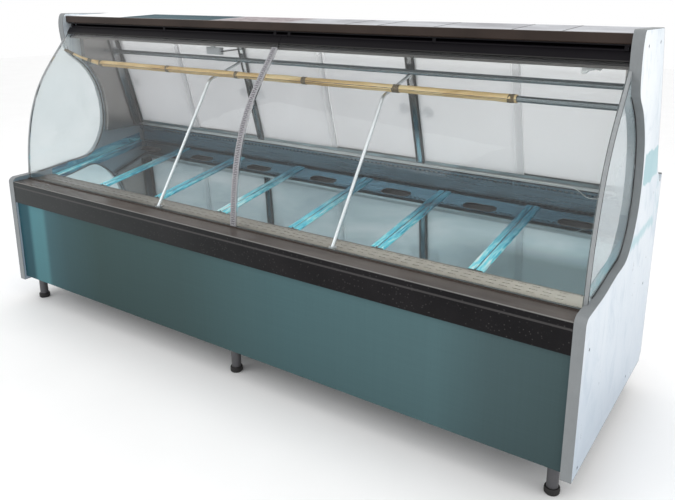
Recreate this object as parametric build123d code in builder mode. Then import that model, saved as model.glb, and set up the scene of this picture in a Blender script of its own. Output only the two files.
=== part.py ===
from build123d import *
import math
import os

os.makedirs("parts", exist_ok=True)

# ---------------------------------------------------------------------------
# Curved-glass refrigerated display counter, millimetres, +Z up.
# Origin: centre of the footprint on the floor.  +X along the length, -Y is the
# customer's side, +Y the operator's side.
# Profile points are written as (depth from the front face, height) and are
# moved to the origin by yz().
# ---------------------------------------------------------------------------
LENGTH = 2500.0
DEPTH = 800.0
HEIGHT = 1250.0
PANEL_T = 31.0            # insulated end panel
BAND_T = 2.0              # aluminium edge band round an end panel
PANEL_FOOT = 94.0         # underside of the end panels
GLASS_T = 6.0             # front and side glass
SILL_TOP = 547.0
STONE_T = 20.0
BAND_FOOT = 455.0         # lower edge of the stone band
FRONT_FOOT = 110.0        # lower edge of the front panel
LEG_X = 1184.0
LEG_Y = (63.0, 737.0)
TRAY_COUNT = 7
TRAY_PITCH = 346.3
TRAY_W = 343.8
TRAY_L = 488.0
TRAY_T = 1.5
TRAY_FRONT = (193.0, 541.0)
TRAY_SLOPE = 9.65         # degrees, rising to the operator's side
TRAY_RIB_W = 22.0
TRAY_RIB_H = 4.0
RAIL_R = 10.0
SLEEVE_R = 14.0
FRONT_RAIL = (412.0, 1030.0)
REAR_RAIL = (562.0, 1072.0)
ROD_R = 6.0
ROD_X = 409.0
ROD_PATH = [(101.0, 549.0), (398.0, 1003.0), (574.0, 1059.0)]
DOOR_T = 5.0
DOOR_W = 395.0
POST_W = 34.0
POST_X = (-1202.0, -403.0, 403.0, 1202.0)
COUNTER_TOP = 714.0
CANOPY_FOOT = 1165.0
SPLIT_X = 12.0            # joint between the two front panes
HINGE = (351.5, 1193.5)   # hinge line of the front panes
PIN_R = 2.5
DRAIN_R = 16.0
PIN_BORE_R = 2.56

INNER_X = LENGTH / 2 - PANEL_T      # inner face of an end panel
FIT_X = INNER_X - 0.2               # length of what stands between the panels


def yz(points):
    return [(y - DEPTH / 2, z) for y, z in points]


def save(part, name):
    part.label = name
    export_step(part, "parts/" + name + ".step")


# ---------------------------------------------------------------------------
# Curve of the front glass (outer surface, from the sill up to the clamp)
# ---------------------------------------------------------------------------
GLASS_CURVE = [
    (77, 552), (81, 598), (86, 650), (93, 702), (103, 755), (116, 810),
    (134, 865), (156, 918), (184, 969), (218, 1019), (255, 1067),
    (290, 1110), (322, 1151), (346, 1186),
]


def shifted(points, d):
    """The same curve, d further in (towards the operator)."""
    out = []
    for i, (y, z) in enumerate(points):
        a = points[max(i - 1, 0)]
        b = points[min(i + 1, len(points) - 1)]
        ty, tz = b[0] - a[0], b[1] - a[1]
        n = math.hypot(ty, tz)
        out.append((y + d * tz / n, z - d * ty / n))
    return out


def lean(s, t):
    """Point of the leaning door plane: s up the plane, t towards the operator."""
    ang = math.atan2(447.0, -123.0)
    cy, cz = math.cos(ang), math.sin(ang)
    return (698.0 + s * cy + t * cz, 718.0 + s * cz - t * cy)


def lean_y(z, t):
    ang = math.atan2(447.0, -123.0)
    cy, cz = math.cos(ang), math.sin(ang)
    s = (z - 718.0 + t * cy) / cz
    return 698.0 + s * cy + t * cz


# ---------------------------------------------------------------------------
# End panels: lower box, concave front edge round the side window, upper fin
# ---------------------------------------------------------------------------
OUTLINE = [
    # kind, points, start tangent, end tangent
    ("line", [(0, PANEL_FOOT), (0, 541)]),
    ("spline", [(0, 541), (7, 556), (25, 563)], (0, 1), (1, 0.035)),
    ("line", [(25, 563), (125, 566.5)]),
    ("spline", [(125, 566.5), (210, 575), (300, 587), (392, 600), (434, 637),
                (466, 692), (482, 749), (484.5, 810), (478, 866),
                (464, 922), (442, 966), (411, 1010), (374, 1044),
                (340, 1072), (323, 1108), (315, 1150), (312, 1196),
                (319, 1236), (336, HEIGHT)], (1, 0.035), (1, 0)),
    ("line", [(336, HEIGHT), (552, HEIGHT)]),
    ("spline", [(552, HEIGHT), (571, 1232), (595, 1170), (629, 1072),
                (658, 975), (681, 880), (699, 830), (722, 795), (755, 771),
                (785, 757), (800, 736)], (1, 0), (0, -1)),
    ("line", [(800, 736), (800, 125)]),
    ("line", [(800, 125), (780, PANEL_FOOT)]),
    ("line", [(780, PANEL_FOOT), (0, PANEL_FOOT)]),
]


def unit(v):
    n = math.hypot(v[0], v[1])
    return (v[0] / n, v[1] / n)


def direction(points, i):
    a = points[max(i - 1, 0)]
    b = points[min(i + 1, len(points) - 1)]
    return unit((b[0] - a[0], b[1] - a[1]))


def ends(seg):
    points = seg[1]
    if seg[0] == "line":
        t = unit((points[1][0] - points[0][0], points[1][1] - points[0][1]))
        return t, t
    return unit(seg[2]), unit(seg[3])


def inset(p, t_in, t_out, d):
    """Point p moved d inside, where the outline arrives along t_in and leaves
    along t_out."""
    n1 = (t_in[1], -t_in[0])
    n2 = (t_out[1], -t_out[0])
    k = d / (1.0 + n1[0] * n2[0] + n1[1] * n2[1])
    return (p[0] + k * (n1[0] + n2[0]), p[1] + k * (n1[1] + n2[1]))


def outline_at(d):
    """Segments of the panel outline, d inside it (negative: outside)."""
    out = []
    count = len(OUTLINE)
    for n, seg in enumerate(OUTLINE):
        before = ends(OUTLINE[n - 1])[1]
        after = ends(OUTLINE[(n + 1) % count])[0]
        start, end = ends(seg)
        points = seg[1]
        moved = [inset(points[0], before, start, d)]
        for i in range(1, len(points) - 1):
            t = direction(points, i)
            moved.append(inset(points[i], t, t, d))
        moved.append(inset(points[-1], end, after, d))
        out.append((seg[0], yz(moved), start, end))
    return out


outlines = {}
for d in (0.0, BAND_T, -0.5):
    with BuildSketch() as outline:
        with BuildLine():
            for kind, points, start, end in outline_at(d):
                if kind == "line":
                    Line(points[0], points[-1])
                else:
                    Spline(*points, tangents=(start, end))
        make_face()
    outlines[d] = outline.sketch_local

panel_x = {"left": -LENGTH / 2, "right": INNER_X}

with BuildPart() as edge_bands:
    for side in ("left", "right"):
        with BuildSketch(Plane.YZ.offset(panel_x[side])):
            add(outlines[0.0])
            add(outlines[BAND_T], mode=Mode.SUBTRACT)
        extrude(amount=PANEL_T)
save(edge_bands.part, "edge_bands")

# inner cheeks behind the side windows
with BuildPart() as inner_cheeks:
    for x0 in (-INNER_X, INNER_X - 25.0):
        with BuildSketch(Plane.YZ.offset(x0)):
            with BuildLine():
                Spline(*yz([(480, 702), (489, 749), (491.5, 810), (485, 866),
                            (471, 924), (449, 969), (418, 1014), (395, 1038)]))
                Polyline(*yz([(395, 1038), (392, 1188), (523, 1188),
                              (523, 1164), (lean_y(1164, -14), 1164),
                              (lean_y(715, -14), 715), (682, 715),
                              (682, 702), (480, 702)]))
            make_face()
        extrude(amount=25.0)
save(inner_cheeks.part, "inner_cheeks")

# domed cover screws on the outer faces
SCREW_AT = [(56, 458), (685, 421), (572, 132), (49, 113), (378, 1205),
            (531, 1210)]
with BuildPart() as panel_screws:
    for side in (-1, 1):
        with BuildSketch(Plane.YZ.offset(side * (LENGTH / 2 - 2.5))):
            with Locations(*yz(SCREW_AT)):
                Circle(5.0)
        extrude(amount=side * 2.4)

with BuildPart() as end_panel_left:
    with BuildSketch(Plane.YZ.offset(panel_x["left"])):
        add(outlines[BAND_T])
    extrude(amount=PANEL_T)
    with BuildSketch(Plane.YZ.offset(-LENGTH / 2 + 2.5)):
        with Locations(*yz(SCREW_AT)):
            Circle(5.2)
    extrude(amount=-2.5, mode=Mode.SUBTRACT)
save(end_panel_left.part, "end_panel_left")
with BuildPart() as end_panel_right:
    with BuildSketch(Plane.YZ.offset(panel_x["right"])):
        add(outlines[BAND_T])
    extrude(amount=PANEL_T)
    with BuildSketch(Plane.YZ.offset(LENGTH / 2 - 2.5)):
        with Locations(*yz(SCREW_AT)):
            Circle(5.2)
    extrude(amount=2.5, mode=Mode.SUBTRACT)
save(end_panel_right.part, "end_panel_right")
save(panel_screws.part, "panel_screws")

# ---------------------------------------------------------------------------
# Side windows and their curved front frames
# ---------------------------------------------------------------------------
FRAME_CURVE = GLASS_CURVE
with BuildPart() as side_glass_frames:
    for x0 in (-INNER_X - 7.8, INNER_X - 0.2):
        with BuildSketch(Plane.YZ.offset(x0)):
            with BuildLine():
                a = Spline(*yz(FRAME_CURVE[:-1]))
                b = Spline(*yz(shifted(FRAME_CURVE, 9.0)[:-1]))
                Line(a @ 0, b @ 0)
                Line(a @ 1, b @ 1)
            make_face()
            add(outlines[-0.5], mode=Mode.SUBTRACT)
        extrude(amount=8.0)
save(side_glass_frames.part, "side_glass_frames")

with BuildPart() as side_glass:
    for x0 in (-INNER_X - 6.6, INNER_X + 0.6):
        with BuildSketch(Plane.YZ.offset(x0)):
            with BuildLine():
                c = Spline(*yz(shifted(FRAME_CURVE, 9.4)))
                Polyline(c @ 1, *yz([(520, 1150), (520, 540)]), c @ 0)
            make_face()
            add(outlines[-0.5], mode=Mode.SUBTRACT)
        extrude(amount=GLASS_T)
save(side_glass.part, "side_glass")

# ---------------------------------------------------------------------------
# Front of the cabinet
# ---------------------------------------------------------------------------
with BuildPart() as front_panel:
    with BuildSketch(Plane.YZ.offset(-FIT_X)):
        with BuildLine():
            Polyline(*yz([(10, FRONT_FOOT), (38, FRONT_FOOT), (38, 111.5),
                          (11.5, 111.5), (11.5, 453.3), (38, 453.3),
                          (38, 454.8), (10, 454.8)]), close=True)
        make_face()
    extrude(amount=2 * FIT_X)
save(front_panel.part, "front_panel")

with BuildPart() as stone_band:
    with BuildSketch(Plane.YZ.offset(-FIT_X)):
        with BuildLine():
            Polyline(*yz([(2, BAND_FOOT), (22, BAND_FOOT), (22, 526.8),
                          (2, 526.8)]), close=True)
        make_face()
    extrude(amount=2 * FIT_X)
    with BuildSketch(Plane.YZ.offset(-FIT_X)):
        with BuildLine():
            Polyline(*yz([(2, 527), (88, 527), (88, SILL_TOP), (7, SILL_TOP),
                          (3.5, 545.5), (2, 542)]), close=True)
        make_face()
    extrude(amount=2 * FIT_X)
save(stone_band.part, "stone_band")

with BuildPart() as glass_seal:
    with BuildSketch(Plane.YZ.offset(-FIT_X)):
        with BuildLine():
            Polyline(*yz([(70, 547.1), (86, 547.1), (85.5, 550.6),
                          (71, 550.6)]), close=True)
        make_face()
    extrude(amount=2 * FIT_X)
save(glass_seal.part, "glass_seal")

with BuildPart() as front_grille:
    with BuildSketch(Plane.YZ.offset(-FIT_X)):
        with BuildLine():
            Polyline(*yz([(90.5, 500), (92, 500), (92, 543.5), (186.5, 543.5),
                          (186.5, 500), (188, 500), (188, 545), (90.5, 545)]),
                     close=True)
        make_face()
    extrude(amount=2 * FIT_X)
    with BuildSketch(Plane.XY.offset(546)):
        for y in (128.0, 150.0, 172.0):
            with Locations((0, y - DEPTH / 2)):
                with GridLocations(40.0, 10.0, 58, 1):
                    SlotOverall(26.0, 4.0)
    extrude(amount=-3.5, mode=Mode.SUBTRACT)
save(front_grille.part, "front_grille")

# ---------------------------------------------------------------------------
# Insulated tub (foam-filled floor and walls) and what stands in it
# ---------------------------------------------------------------------------
with BuildPart() as insulated_tub:
    with BuildSketch(Plane.YZ.offset(-FIT_X)):
        with BuildLine():
            Polyline(*yz([(40, 300), (765, 300), (765, 345), (40, 345)]),
                     close=True)
        make_face()
    extrude(amount=2 * FIT_X)
    with BuildSketch(Plane.YZ.offset(-FIT_X)):
        with BuildLine():
            Polyline(*yz([(40, 345.1), (88, 345.1), (88, 526.8), (40, 526.8)]),
                     close=True)
        make_face()
        with BuildLine():
            Polyline(*yz([(735, 345.1), (765, 345.1), (765, 699.5),
                          (735, 699.5)]), close=True)
        make_face()
    extrude(amount=2 * FIT_X)
    for x0 in (-FIT_X, FIT_X - 24.0):
        with BuildSketch(Plane.YZ.offset(x0)):
            with BuildLine():
                Polyline(*yz([(88.2, 345.1), (734.8, 345.1), (734.8, 600),
                              (660, 590), (200, 498), (88.2, 498)]), close=True)
            make_face()
        extrude(amount=24.0)
save(insulated_tub.part, "insulated_tub")

slope = math.radians(TRAY_SLOPE)


def tray_z(y, down=0.0):
    return TRAY_FRONT[1] + (y - TRAY_FRONT[0]) * math.tan(slope) - down


with BuildPart() as tray_rails:
    for y in (205.0, 640.0):
        with BuildSketch(Plane.YZ.offset(-FIT_X + 25.0)):
            with BuildLine():
                Polyline(*yz([(y, tray_z(y, 13)), (y + 25, tray_z(y + 25, 13)),
                              (y + 25, tray_z(y + 25, 33)),
                              (y, tray_z(y, 33))]), close=True)
            make_face()
        extrude(amount=2 * FIT_X - 50.0)
    # uprights that carry the rails off the tub floor
    for x in (-1150.0, -350.0, 350.0, 1150.0):
        for y in (205.0, 640.0):
            with BuildSketch(Plane.YZ.offset(x - 10.0)):
                with BuildLine():
                    Polyline(*yz([(y + 2, 345.2), (y + 22, 345.2),
                                  (y + 22, tray_z(y + 22, 33.5)),
                                  (y + 2, tray_z(y + 2, 33.5))]), close=True)
                make_face()
            extrude(amount=20.0)
save(tray_rails.part, "tray_rails")

with BuildPart() as rear_air_duct:
    with BuildSketch(Plane.XZ.offset(-(690.0 - DEPTH / 2))):
        with BuildLine():
            Polyline((-FIT_X + 24.5, 352), (FIT_X - 24.5, 352),
                     (FIT_X - 24.5, 699.5), (-FIT_X + 24.5, 699.5), close=True)
        make_face()
        with Locations((0, 688.0)):
            with GridLocations(20.0, 10.0, 116, 1):
                SlotOverall(13.0, 5.0, mode=Mode.SUBTRACT)
    extrude(amount=-1.5)
save(rear_air_duct.part, "rear_air_duct")

FAN_X = (-325.0, 325.0)
FAN_Z = 425.0
with BuildPart() as evaporator:
    # finned block
    with BuildSketch(Plane.XY.offset(352)):
        with Locations((0, 560.0 - DEPTH / 2)):
            Rectangle(1240.0, 116.0)
    extrude(amount=118.0)
    # return bends at both ends
    for x in (-1, 1):
        for z in (375.0, 411.0, 447.0):
            for y in (520.0, 560.0, 600.0):
                with BuildSketch(Plane.YZ.offset(x * 620.2)):
                    with Locations((y - DEPTH / 2, z)):
                        Circle(6.0)
                extrude(amount=x * 22.0)
    # fan plate with two round ports
    with BuildSketch(Plane.XZ.offset(-(470.0 - DEPTH / 2))):
        with Locations((0, 425.0)):
            Rectangle(1240.0, 150.0)
        with Locations((FAN_X[0], FAN_Z), (FAN_X[1], FAN_Z)):
            Circle(70.0, mode=Mode.SUBTRACT)
    extrude(amount=-2.0)
    # fan motors with their shafts
    with BuildSketch(Plane.XZ.offset(-(488.0 - DEPTH / 2))):
        with Locations((FAN_X[0], FAN_Z), (FAN_X[1], FAN_Z)):
            Circle(26.0)
    extrude(amount=-13.5)
    with BuildSketch(Plane.XZ.offset(-(472.0 - DEPTH / 2))):
        with Locations((FAN_X[0], FAN_Z), (FAN_X[1], FAN_Z)):
            Circle(3.0)
    extrude(amount=-16.0)
save(evaporator.part, "evaporator")


FAN_NAMES = ("evaporator_fan_left", "evaporator_fan_right")
for fan_name, fan_x in zip(FAN_NAMES, FAN_X):
    with BuildPart() as fan:
        with BuildSketch(Plane.XZ.offset(-(458.0 - DEPTH / 2))):
            with Locations((fan_x, FAN_Z)):
                Circle(20.0)
        extrude(amount=-26.0)
        for k in range(5):
            turn = k * 72.0
            direction = Vector(math.cos(math.radians(turn)), 0,
                               math.sin(math.radians(turn)))
            root = Plane(origin=Vector(fan_x, 471.0 - DEPTH / 2, FAN_Z)
                         + direction * 17.0,
                         x_dir=Vector(0, 1, 0).rotate(
                             Axis((0, 0, 0), direction), 32.0),
                         z_dir=direction)
            with BuildSketch(root):
                Rectangle(3.0, 34.0)
            extrude(amount=46.0)
        with BuildSketch(Plane.XZ.offset(-(484.0 - DEPTH / 2))):
            with Locations((fan_x, FAN_Z)):
                Circle(3.06)
        extrude(amount=13.0, mode=Mode.SUBTRACT)
    save(fan.part, fan_name)

# ---------------------------------------------------------------------------
# Deck trays: folded plates with raised side ribs and a finger slot
# ---------------------------------------------------------------------------
for i in range(TRAY_COUNT):
    xc = (i - (TRAY_COUNT - 1) / 2) * TRAY_PITCH
    base = Plane(origin=(xc, TRAY_FRONT[0] - DEPTH / 2, TRAY_FRONT[1]),
                 x_dir=(1, 0, 0),
                 z_dir=(0, -math.sin(slope), math.cos(slope)))
    with BuildPart() as tray:
        with BuildSketch(base):
            with Locations((0, TRAY_L / 2)):
                Rectangle(TRAY_W, TRAY_L)
            with Locations((0, TRAY_L - 74.0)):
                SlotOverall(124.0, 46.0, mode=Mode.SUBTRACT)
        extrude(amount=-TRAY_T)
        # raised side ribs
        with BuildSketch(base):
            with Locations((-(TRAY_W - TRAY_RIB_W) / 2, TRAY_L / 2),
                           ((TRAY_W - TRAY_RIB_W) / 2, TRAY_L / 2)):
                Rectangle(TRAY_RIB_W, TRAY_L)
        extrude(amount=TRAY_RIB_H)
        # turned-down flanges
        with BuildSketch(base.offset(-TRAY_T)):
            with Locations((-(TRAY_W - 1.5) / 2, TRAY_L / 2),
                           ((TRAY_W - 1.5) / 2, TRAY_L / 2)):
                Rectangle(1.5, TRAY_L)
            with Locations((0, 0.75), (0, TRAY_L - 0.75)):
                Rectangle(TRAY_W, 1.5)
        extrude(amount=-10.5)
    save(tray.part, "tray_%d" % (i + 1))

# ---------------------------------------------------------------------------
# Operator's side
# ---------------------------------------------------------------------------
with BuildPart() as rear_counter:
    with BuildSketch(Plane.YZ.offset(-FIT_X)):
        with BuildLine():
            Polyline(*yz([(684, 700), (798, 700), (798, 711),
                          (795, COUNTER_TOP), (684, COUNTER_TOP)]), close=True)
        make_face()
    extrude(amount=2 * FIT_X)
save(rear_counter.part, "rear_counter")

with BuildPart() as rear_panels:
    for k in range(3):
        xc = (k - 1) * 812.4
        with BuildSketch(Plane.XZ.offset(-(768.5 - DEPTH / 2))):
            with Locations((xc, 405.0)):
                Rectangle(810.0, 588.0)
            with Locations((xc, 215.0)):
                with GridLocations(10.0, 18.0, 1, 7):
                    SlotOverall(420.0, 7.0, mode=Mode.SUBTRACT)
        extrude(amount=-1.5)
save(rear_panels.part, "rear_panels")

with BuildPart() as rear_posts:
    for x in POST_X:
        with BuildSketch(Plane.YZ.offset(x - POST_W / 2 + 0.1)):
            with BuildLine():
                Polyline(*yz([(lean_y(714.2, -12.5), 714.2),
                              (lean_y(714.2, 12.5), 714.2),
                              (lean_y(1164.8, 12.5), 1164.8),
                              (lean_y(1164.8, -12.5), 1164.8)]), close=True)
            make_face()
        extrude(amount=POST_W - 0.2)
save(rear_posts.part, "rear_posts")

BAYS = [(-1184.5, -420.5), (-385.5, 385.5), (420.5, 1184.5)]
with BuildPart() as door_tracks:
    for x0, x1 in BAYS:
        for base_s, up in ((0.0, 1.0), (460.0, -1.0)):
            with BuildSketch(Plane.YZ.offset(x0)):
                with BuildLine():
                    Polyline(*yz([lean(base_s, -12),
                                  lean(base_s + up * 14, -12),
                                  lean(base_s + up * 14, -10.4),
                                  lean(base_s + up * 4, -10.4),
                                  lean(base_s + up * 4, -1.5),
                                  lean(base_s + up * 14, -1.5),
                                  lean(base_s + up * 14, 1.5),
                                  lean(base_s + up * 4, 1.5),
                                  lean(base_s + up * 4, 10.4),
                                  lean(base_s + up * 14, 10.4),
                                  lean(base_s + up * 14, 12),
                                  lean(base_s, 12)]), close=True)
                make_face()
            extrude(amount=x1 - x0)
save(door_tracks.part, "door_tracks")

door_number = 0
for x0, x1 in BAYS:
    for x_start, t0 in ((x0 + 1.0, -8.5), (x1 - 1.0 - DOOR_W, 3.5)):
        door_number += 1
        with BuildPart() as door:
            with BuildSketch(Plane.YZ.offset(x_start)):
                with BuildLine():
                    Polyline(*yz([lean(4.6, t0), lean(4.6, t0 + DOOR_T),
                                  lean(452, t0 + DOOR_T), lean(452, t0)]),
                             close=True)
                make_face()
            extrude(amount=DOOR_W)
        save(door.part, "rear_door_%d" % door_number)

# ---------------------------------------------------------------------------
# Canopy
# ---------------------------------------------------------------------------
with BuildPart() as top_fascia:
    with BuildSketch(Plane.YZ.offset(-FIT_X)):
        with BuildLine():
            Polyline(*yz([(331, 1213), (334, 1210), (353, 1210), (353, 1239),
                          (333, 1239), (331, 1237)]), close=True)
        make_face()
    extrude(amount=2 * FIT_X)
save(top_fascia.part, "top_fascia")

with BuildPart() as top_cover:
    for x0, x1 in ((-FIT_X, -407.0), (-406.0, 406.0), (407.0, FIT_X)):
        with BuildSketch(Plane.YZ.offset(x0)):
            with BuildLine():
                Polyline(*yz([(353.2, 1229), (558, 1229), (557, 1246),
                              (552, 1249.5), (544, 1249.5), (353.2, 1239)]),
                         close=True)
            make_face()
        extrude(amount=x1 - x0)
save(top_cover.part, "top_cover")

with BuildPart() as canopy_frame:
    with BuildSketch(Plane.YZ.offset(-FIT_X)):
        with BuildLine():
            Polyline(*yz([(392, 1195.2), (412, 1195.2), (412, 1228.8),
                          (392, 1228.8)]), close=True)
        make_face()
        with BuildLine():
            Polyline(*yz([(545, 1165), (592, 1165), (566, 1228.8),
                          (526, 1228.8), (526, 1195.2)]), close=True)
        make_face()
    extrude(amount=2 * FIT_X)
    for x in (-800.0, 0.0, 800.0):
        with BuildSketch(Plane.YZ.offset(x - 10.0)):
            with BuildLine():
                Polyline(*yz([(412.1, 1205), (525.9, 1205), (525.9, 1228.8),
                              (412.1, 1228.8)]), close=True)
            make_face()
        extrude(amount=20.0)
    # soffit sheet under the frame
    with BuildSketch(Plane.YZ.offset(-FIT_X)):
        with BuildLine():
            Polyline(*yz([(389, 1193.2), (526, 1193.2), (526, 1195),
                          (389, 1195)]), close=True)
        make_face()
    extrude(amount=2 * FIT_X)
save(canopy_frame.part, "canopy_frame")

with BuildPart() as valance:
    with BuildSketch(Plane.YZ.offset(-FIT_X)):
        with BuildLine():
            Polyline(*yz([(349, 1149.5), (352, 1149.5), (391, 1209.4),
                          (388, 1209.4)]), close=True)
        make_face()
    extrude(amount=2 * FIT_X)
save(valance.part, "valance")

with BuildPart() as valance_lip:
    with BuildSketch(Plane.YZ.offset(-FIT_X)):
        with BuildLine():
            Polyline(*yz([(344, 1141), (360, 1141), (360, 1143), (354, 1143),
                          (354, 1149.3), (344, 1149.3)]), close=True)
        make_face()
    extrude(amount=2 * FIT_X)
save(valance_lip.part, "valance_lip")

with BuildPart() as lamp:
    # two long tubes end to end under the soffit
    for x0, x1 in ((-1165.0, -12.0), (12.0, 1165.0)):
        with BuildSketch(Plane.YZ.offset(x0)):
            with Locations(*yz([(430, 1168)])):
                Circle(13.0)
        extrude(amount=x1 - x0)
save(lamp.part, "lamp")

with BuildPart() as lamp_holders:
    for x0 in (-1189.0, -11.8, 1165.2):
        with BuildSketch(Plane.YZ.offset(x0)):
            with Locations(*yz([(430, 1172.5)])):
                RectangleRounded(30.0, 41.0, 6.0)
        extrude(amount=23.6)
save(lamp_holders.part, "lamp_holders")

# ---------------------------------------------------------------------------
# Hinge of the front panes: rail, brackets and pins under the fascia
# ---------------------------------------------------------------------------
PANES = {"left": (-1216.0, SPLIT_X - 2.0), "right": (SPLIT_X + 1.0, 1216.0)}
BRACKETS = {"left": (-1200.0, -600.0, -20.0), "right": (45.0, 622.0, 1200.0)}
hy, hz = yz([HINGE])[0]
with BuildPart() as glass_hinge_rail:
    with BuildSketch(Plane.YZ.offset(-FIT_X)):
        with BuildLine():
            Polyline(*yz([(340, 1206), (384, 1206), (384, 1209.8),
                          (340, 1209.8)]), close=True)
        make_face()
    extrude(amount=2 * FIT_X)
    for x in BRACKETS["left"] + BRACKETS["right"]:
        with BuildSketch(Plane.YZ.offset(x - 6.0)):
            with Locations((hy, hz)):
                Circle(5.0)
            with Locations((hy, (hz + 1207.0) / 2)):
                Rectangle(10.0, 1207.0 - hz)
            with Locations((hy, hz)):
                Circle(PIN_R, mode=Mode.SUBTRACT)
        extrude(amount=12.0)
    # hinge pins, one along each pane
    for side in ("left", "right"):
        xs = BRACKETS[side]
        with BuildSketch(Plane.YZ.offset(xs[0] - 8.0)):
            with Locations((hy, hz)):
                Circle(PIN_R)
        extrude(amount=xs[-1] - xs[0] + 16.0)
save(glass_hinge_rail.part, "glass_hinge_rail")

# ---------------------------------------------------------------------------
# Front panes, their clamps and the joint profile on the left pane
# ---------------------------------------------------------------------------
for side, (x0, x1) in PANES.items():
    with BuildPart() as pane:
        with BuildSketch(Plane.YZ.offset(x0)):
            with BuildLine():
                a = Spline(*yz(GLASS_CURVE))
                b = Spline(*yz(shifted(GLASS_CURVE, GLASS_T)))
                Line(a @ 0, b @ 0)
                Line(a @ 1, b @ 1)
            make_face()
        extrude(amount=x1 - x0)
    save(pane.part, "front_glass_" + side)

ty = GLASS_CURVE[-2][0] - HINGE[0]
tz = GLASS_CURVE[-2][1] - HINGE[1]
tn = math.hypot(ty, tz)
ty, tz = ty / tn, tz / tn          # down the glass from the hinge line
for side, (x0, x1) in PANES.items():
    start = x0 + 0.2
    end = x1 - (0.0 if side == "right" else -2.0)

    def clamp_plane(x):
        return Plane(origin=(x, hy, hz), x_dir=(0, ty, tz), z_dir=(1, 0, 0))

    # barrel lengths between the brackets
    cuts = [start] + [c for x in BRACKETS[side] for c in (x - 7.0, x + 7.0)] + [end]
    barrels = [(cuts[k], cuts[k + 1]) for k in range(0, len(cuts), 2)
               if cuts[k + 1] - cuts[k] > 20.0]
    with BuildPart() as clamp:
        with BuildSketch(clamp_plane(start)):
            with BuildLine():
                Polyline((6.6, -3.4), (33, -3.4), (33, -1.4), (8.4, -1.4),
                         (8.4, 7.6), (33, 7.6), (33, 9.6), (6.6, 9.6),
                         close=True)
            make_face()
        extrude(amount=end - start)
        for b0, b1 in barrels:
            with BuildSketch(clamp_plane(b0)):
                Circle(4.9)
                with Locations((5.0, 0.5)):
                    Rectangle(4.0, 7.8)
                Circle(PIN_BORE_R, mode=Mode.SUBTRACT)
            extrude(amount=b1 - b0)
    save(clamp.part, "glass_clamp_" + side)

with BuildPart() as glass_joint_profile:
    for d0, d1, xa, xb in ((-2.4, -0.4, -13.0, SPLIT_X),
                           (6.4, 8.4, -13.0, SPLIT_X),
                           (-0.6, 6.6, SPLIT_X - 1.8, SPLIT_X)):
        with BuildSketch(Plane.YZ.offset(xa)):
            with BuildLine():
                a = Spline(*yz(shifted(GLASS_CURVE, d0)[:-1]))
                b = Spline(*yz(shifted(GLASS_CURVE, d1)[:-1]))
                Line(a @ 0, b @ 0)
                Line(a @ 1, b @ 1)
            make_face()
        extrude(amount=xb - xa)
save(glass_joint_profile.part, "glass_joint_profile")

# ---------------------------------------------------------------------------
# Hanging rails, their sleeves and the bent rods that carry them
# ---------------------------------------------------------------------------
RAIL_END = INNER_X - 25.0 - 0.2
with BuildPart() as hang_rails:
    for y, z in (FRONT_RAIL, REAR_RAIL):
        with BuildSketch(Plane.YZ.offset(-RAIL_END)):
            with Locations(*yz([(y, z)])):
                Circle(RAIL_R)
                Circle(RAIL_R - 1.5, mode=Mode.SUBTRACT)
        extrude(amount=2 * RAIL_END)
    # end flanges
    for y, z in (FRONT_RAIL, REAR_RAIL):
        for x0 in (-RAIL_END, RAIL_END - 6.0):
            with BuildSketch(Plane.YZ.offset(x0)):
                with Locations(*yz([(y, z)])):
                    Circle(17.0)
                    Circle(RAIL_R + 0.1, mode=Mode.SUBTRACT)
            extrude(amount=6.0)
save(hang_rails.part, "hang_rails")

SLEEVES = [(-1110.0, -662.0), (-660.0, -272.0), (-270.0, 62.0), (64.0, 452.0),
           (454.0, 880.0)]
with BuildPart() as rail_sleeves:
    for x0, x1 in SLEEVES:
        with BuildSketch(Plane.YZ.offset(x0)):
            with Locations(*yz([FRONT_RAIL])):
                Circle(SLEEVE_R)
                Circle(RAIL_R + 0.2, mode=Mode.SUBTRACT)
        extrude(amount=x1 - x0)
save(rail_sleeves.part, "rail_sleeves")

with BuildPart() as support_rods:
    for x in (-ROD_X, ROD_X):
        with BuildLine(Plane.YZ.offset(x)) as path:
            FilletPolyline(*yz(ROD_PATH), radius=40.0)
        with BuildSketch(Plane(origin=path.wire() @ 0, z_dir=path.wire() % 0)):
            Circle(ROD_R)
        sweep(path=path.wire())
        with BuildSketch(Plane.XY.offset(545.1)):
            with Locations((x, 103.0 - DEPTH / 2)):
                Circle(13.0)
        extrude(amount=5.5)
save(support_rods.part, "support_rods")

# ---------------------------------------------------------------------------
# Base, legs, drain and the cooling machinery
# ---------------------------------------------------------------------------
with BuildPart() as leg_tubes:
    with BuildSketch(Plane.XY.offset(16.5)):
        with Locations(*[(x, y - DEPTH / 2) for x in (-LEG_X, 0, LEG_X)
                         for y in LEG_Y]):
            Circle(17.0)
    extrude(amount=95.3)
save(leg_tubes.part, "leg_tubes")

with BuildPart() as leg_feet:
    for x in (-LEG_X, 0, LEG_X):
        for y in LEG_Y:
            with BuildSketch(Plane.XZ.offset(-(y - DEPTH / 2))) as foot:
                with BuildLine():
                    Polyline((x, 0), (x + 20, 0), (x + 22, 3), (x + 22, 17),
                             (x + 20.5, 20), (x + 17.2, 20), (x + 17.2, 16.3),
                             (x, 16.3), close=True)
                make_face()
            revolve(axis=Axis((x, y - DEPTH / 2, 0), (0, 0, 1)))
save(leg_feet.part, "leg_feet")

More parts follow.
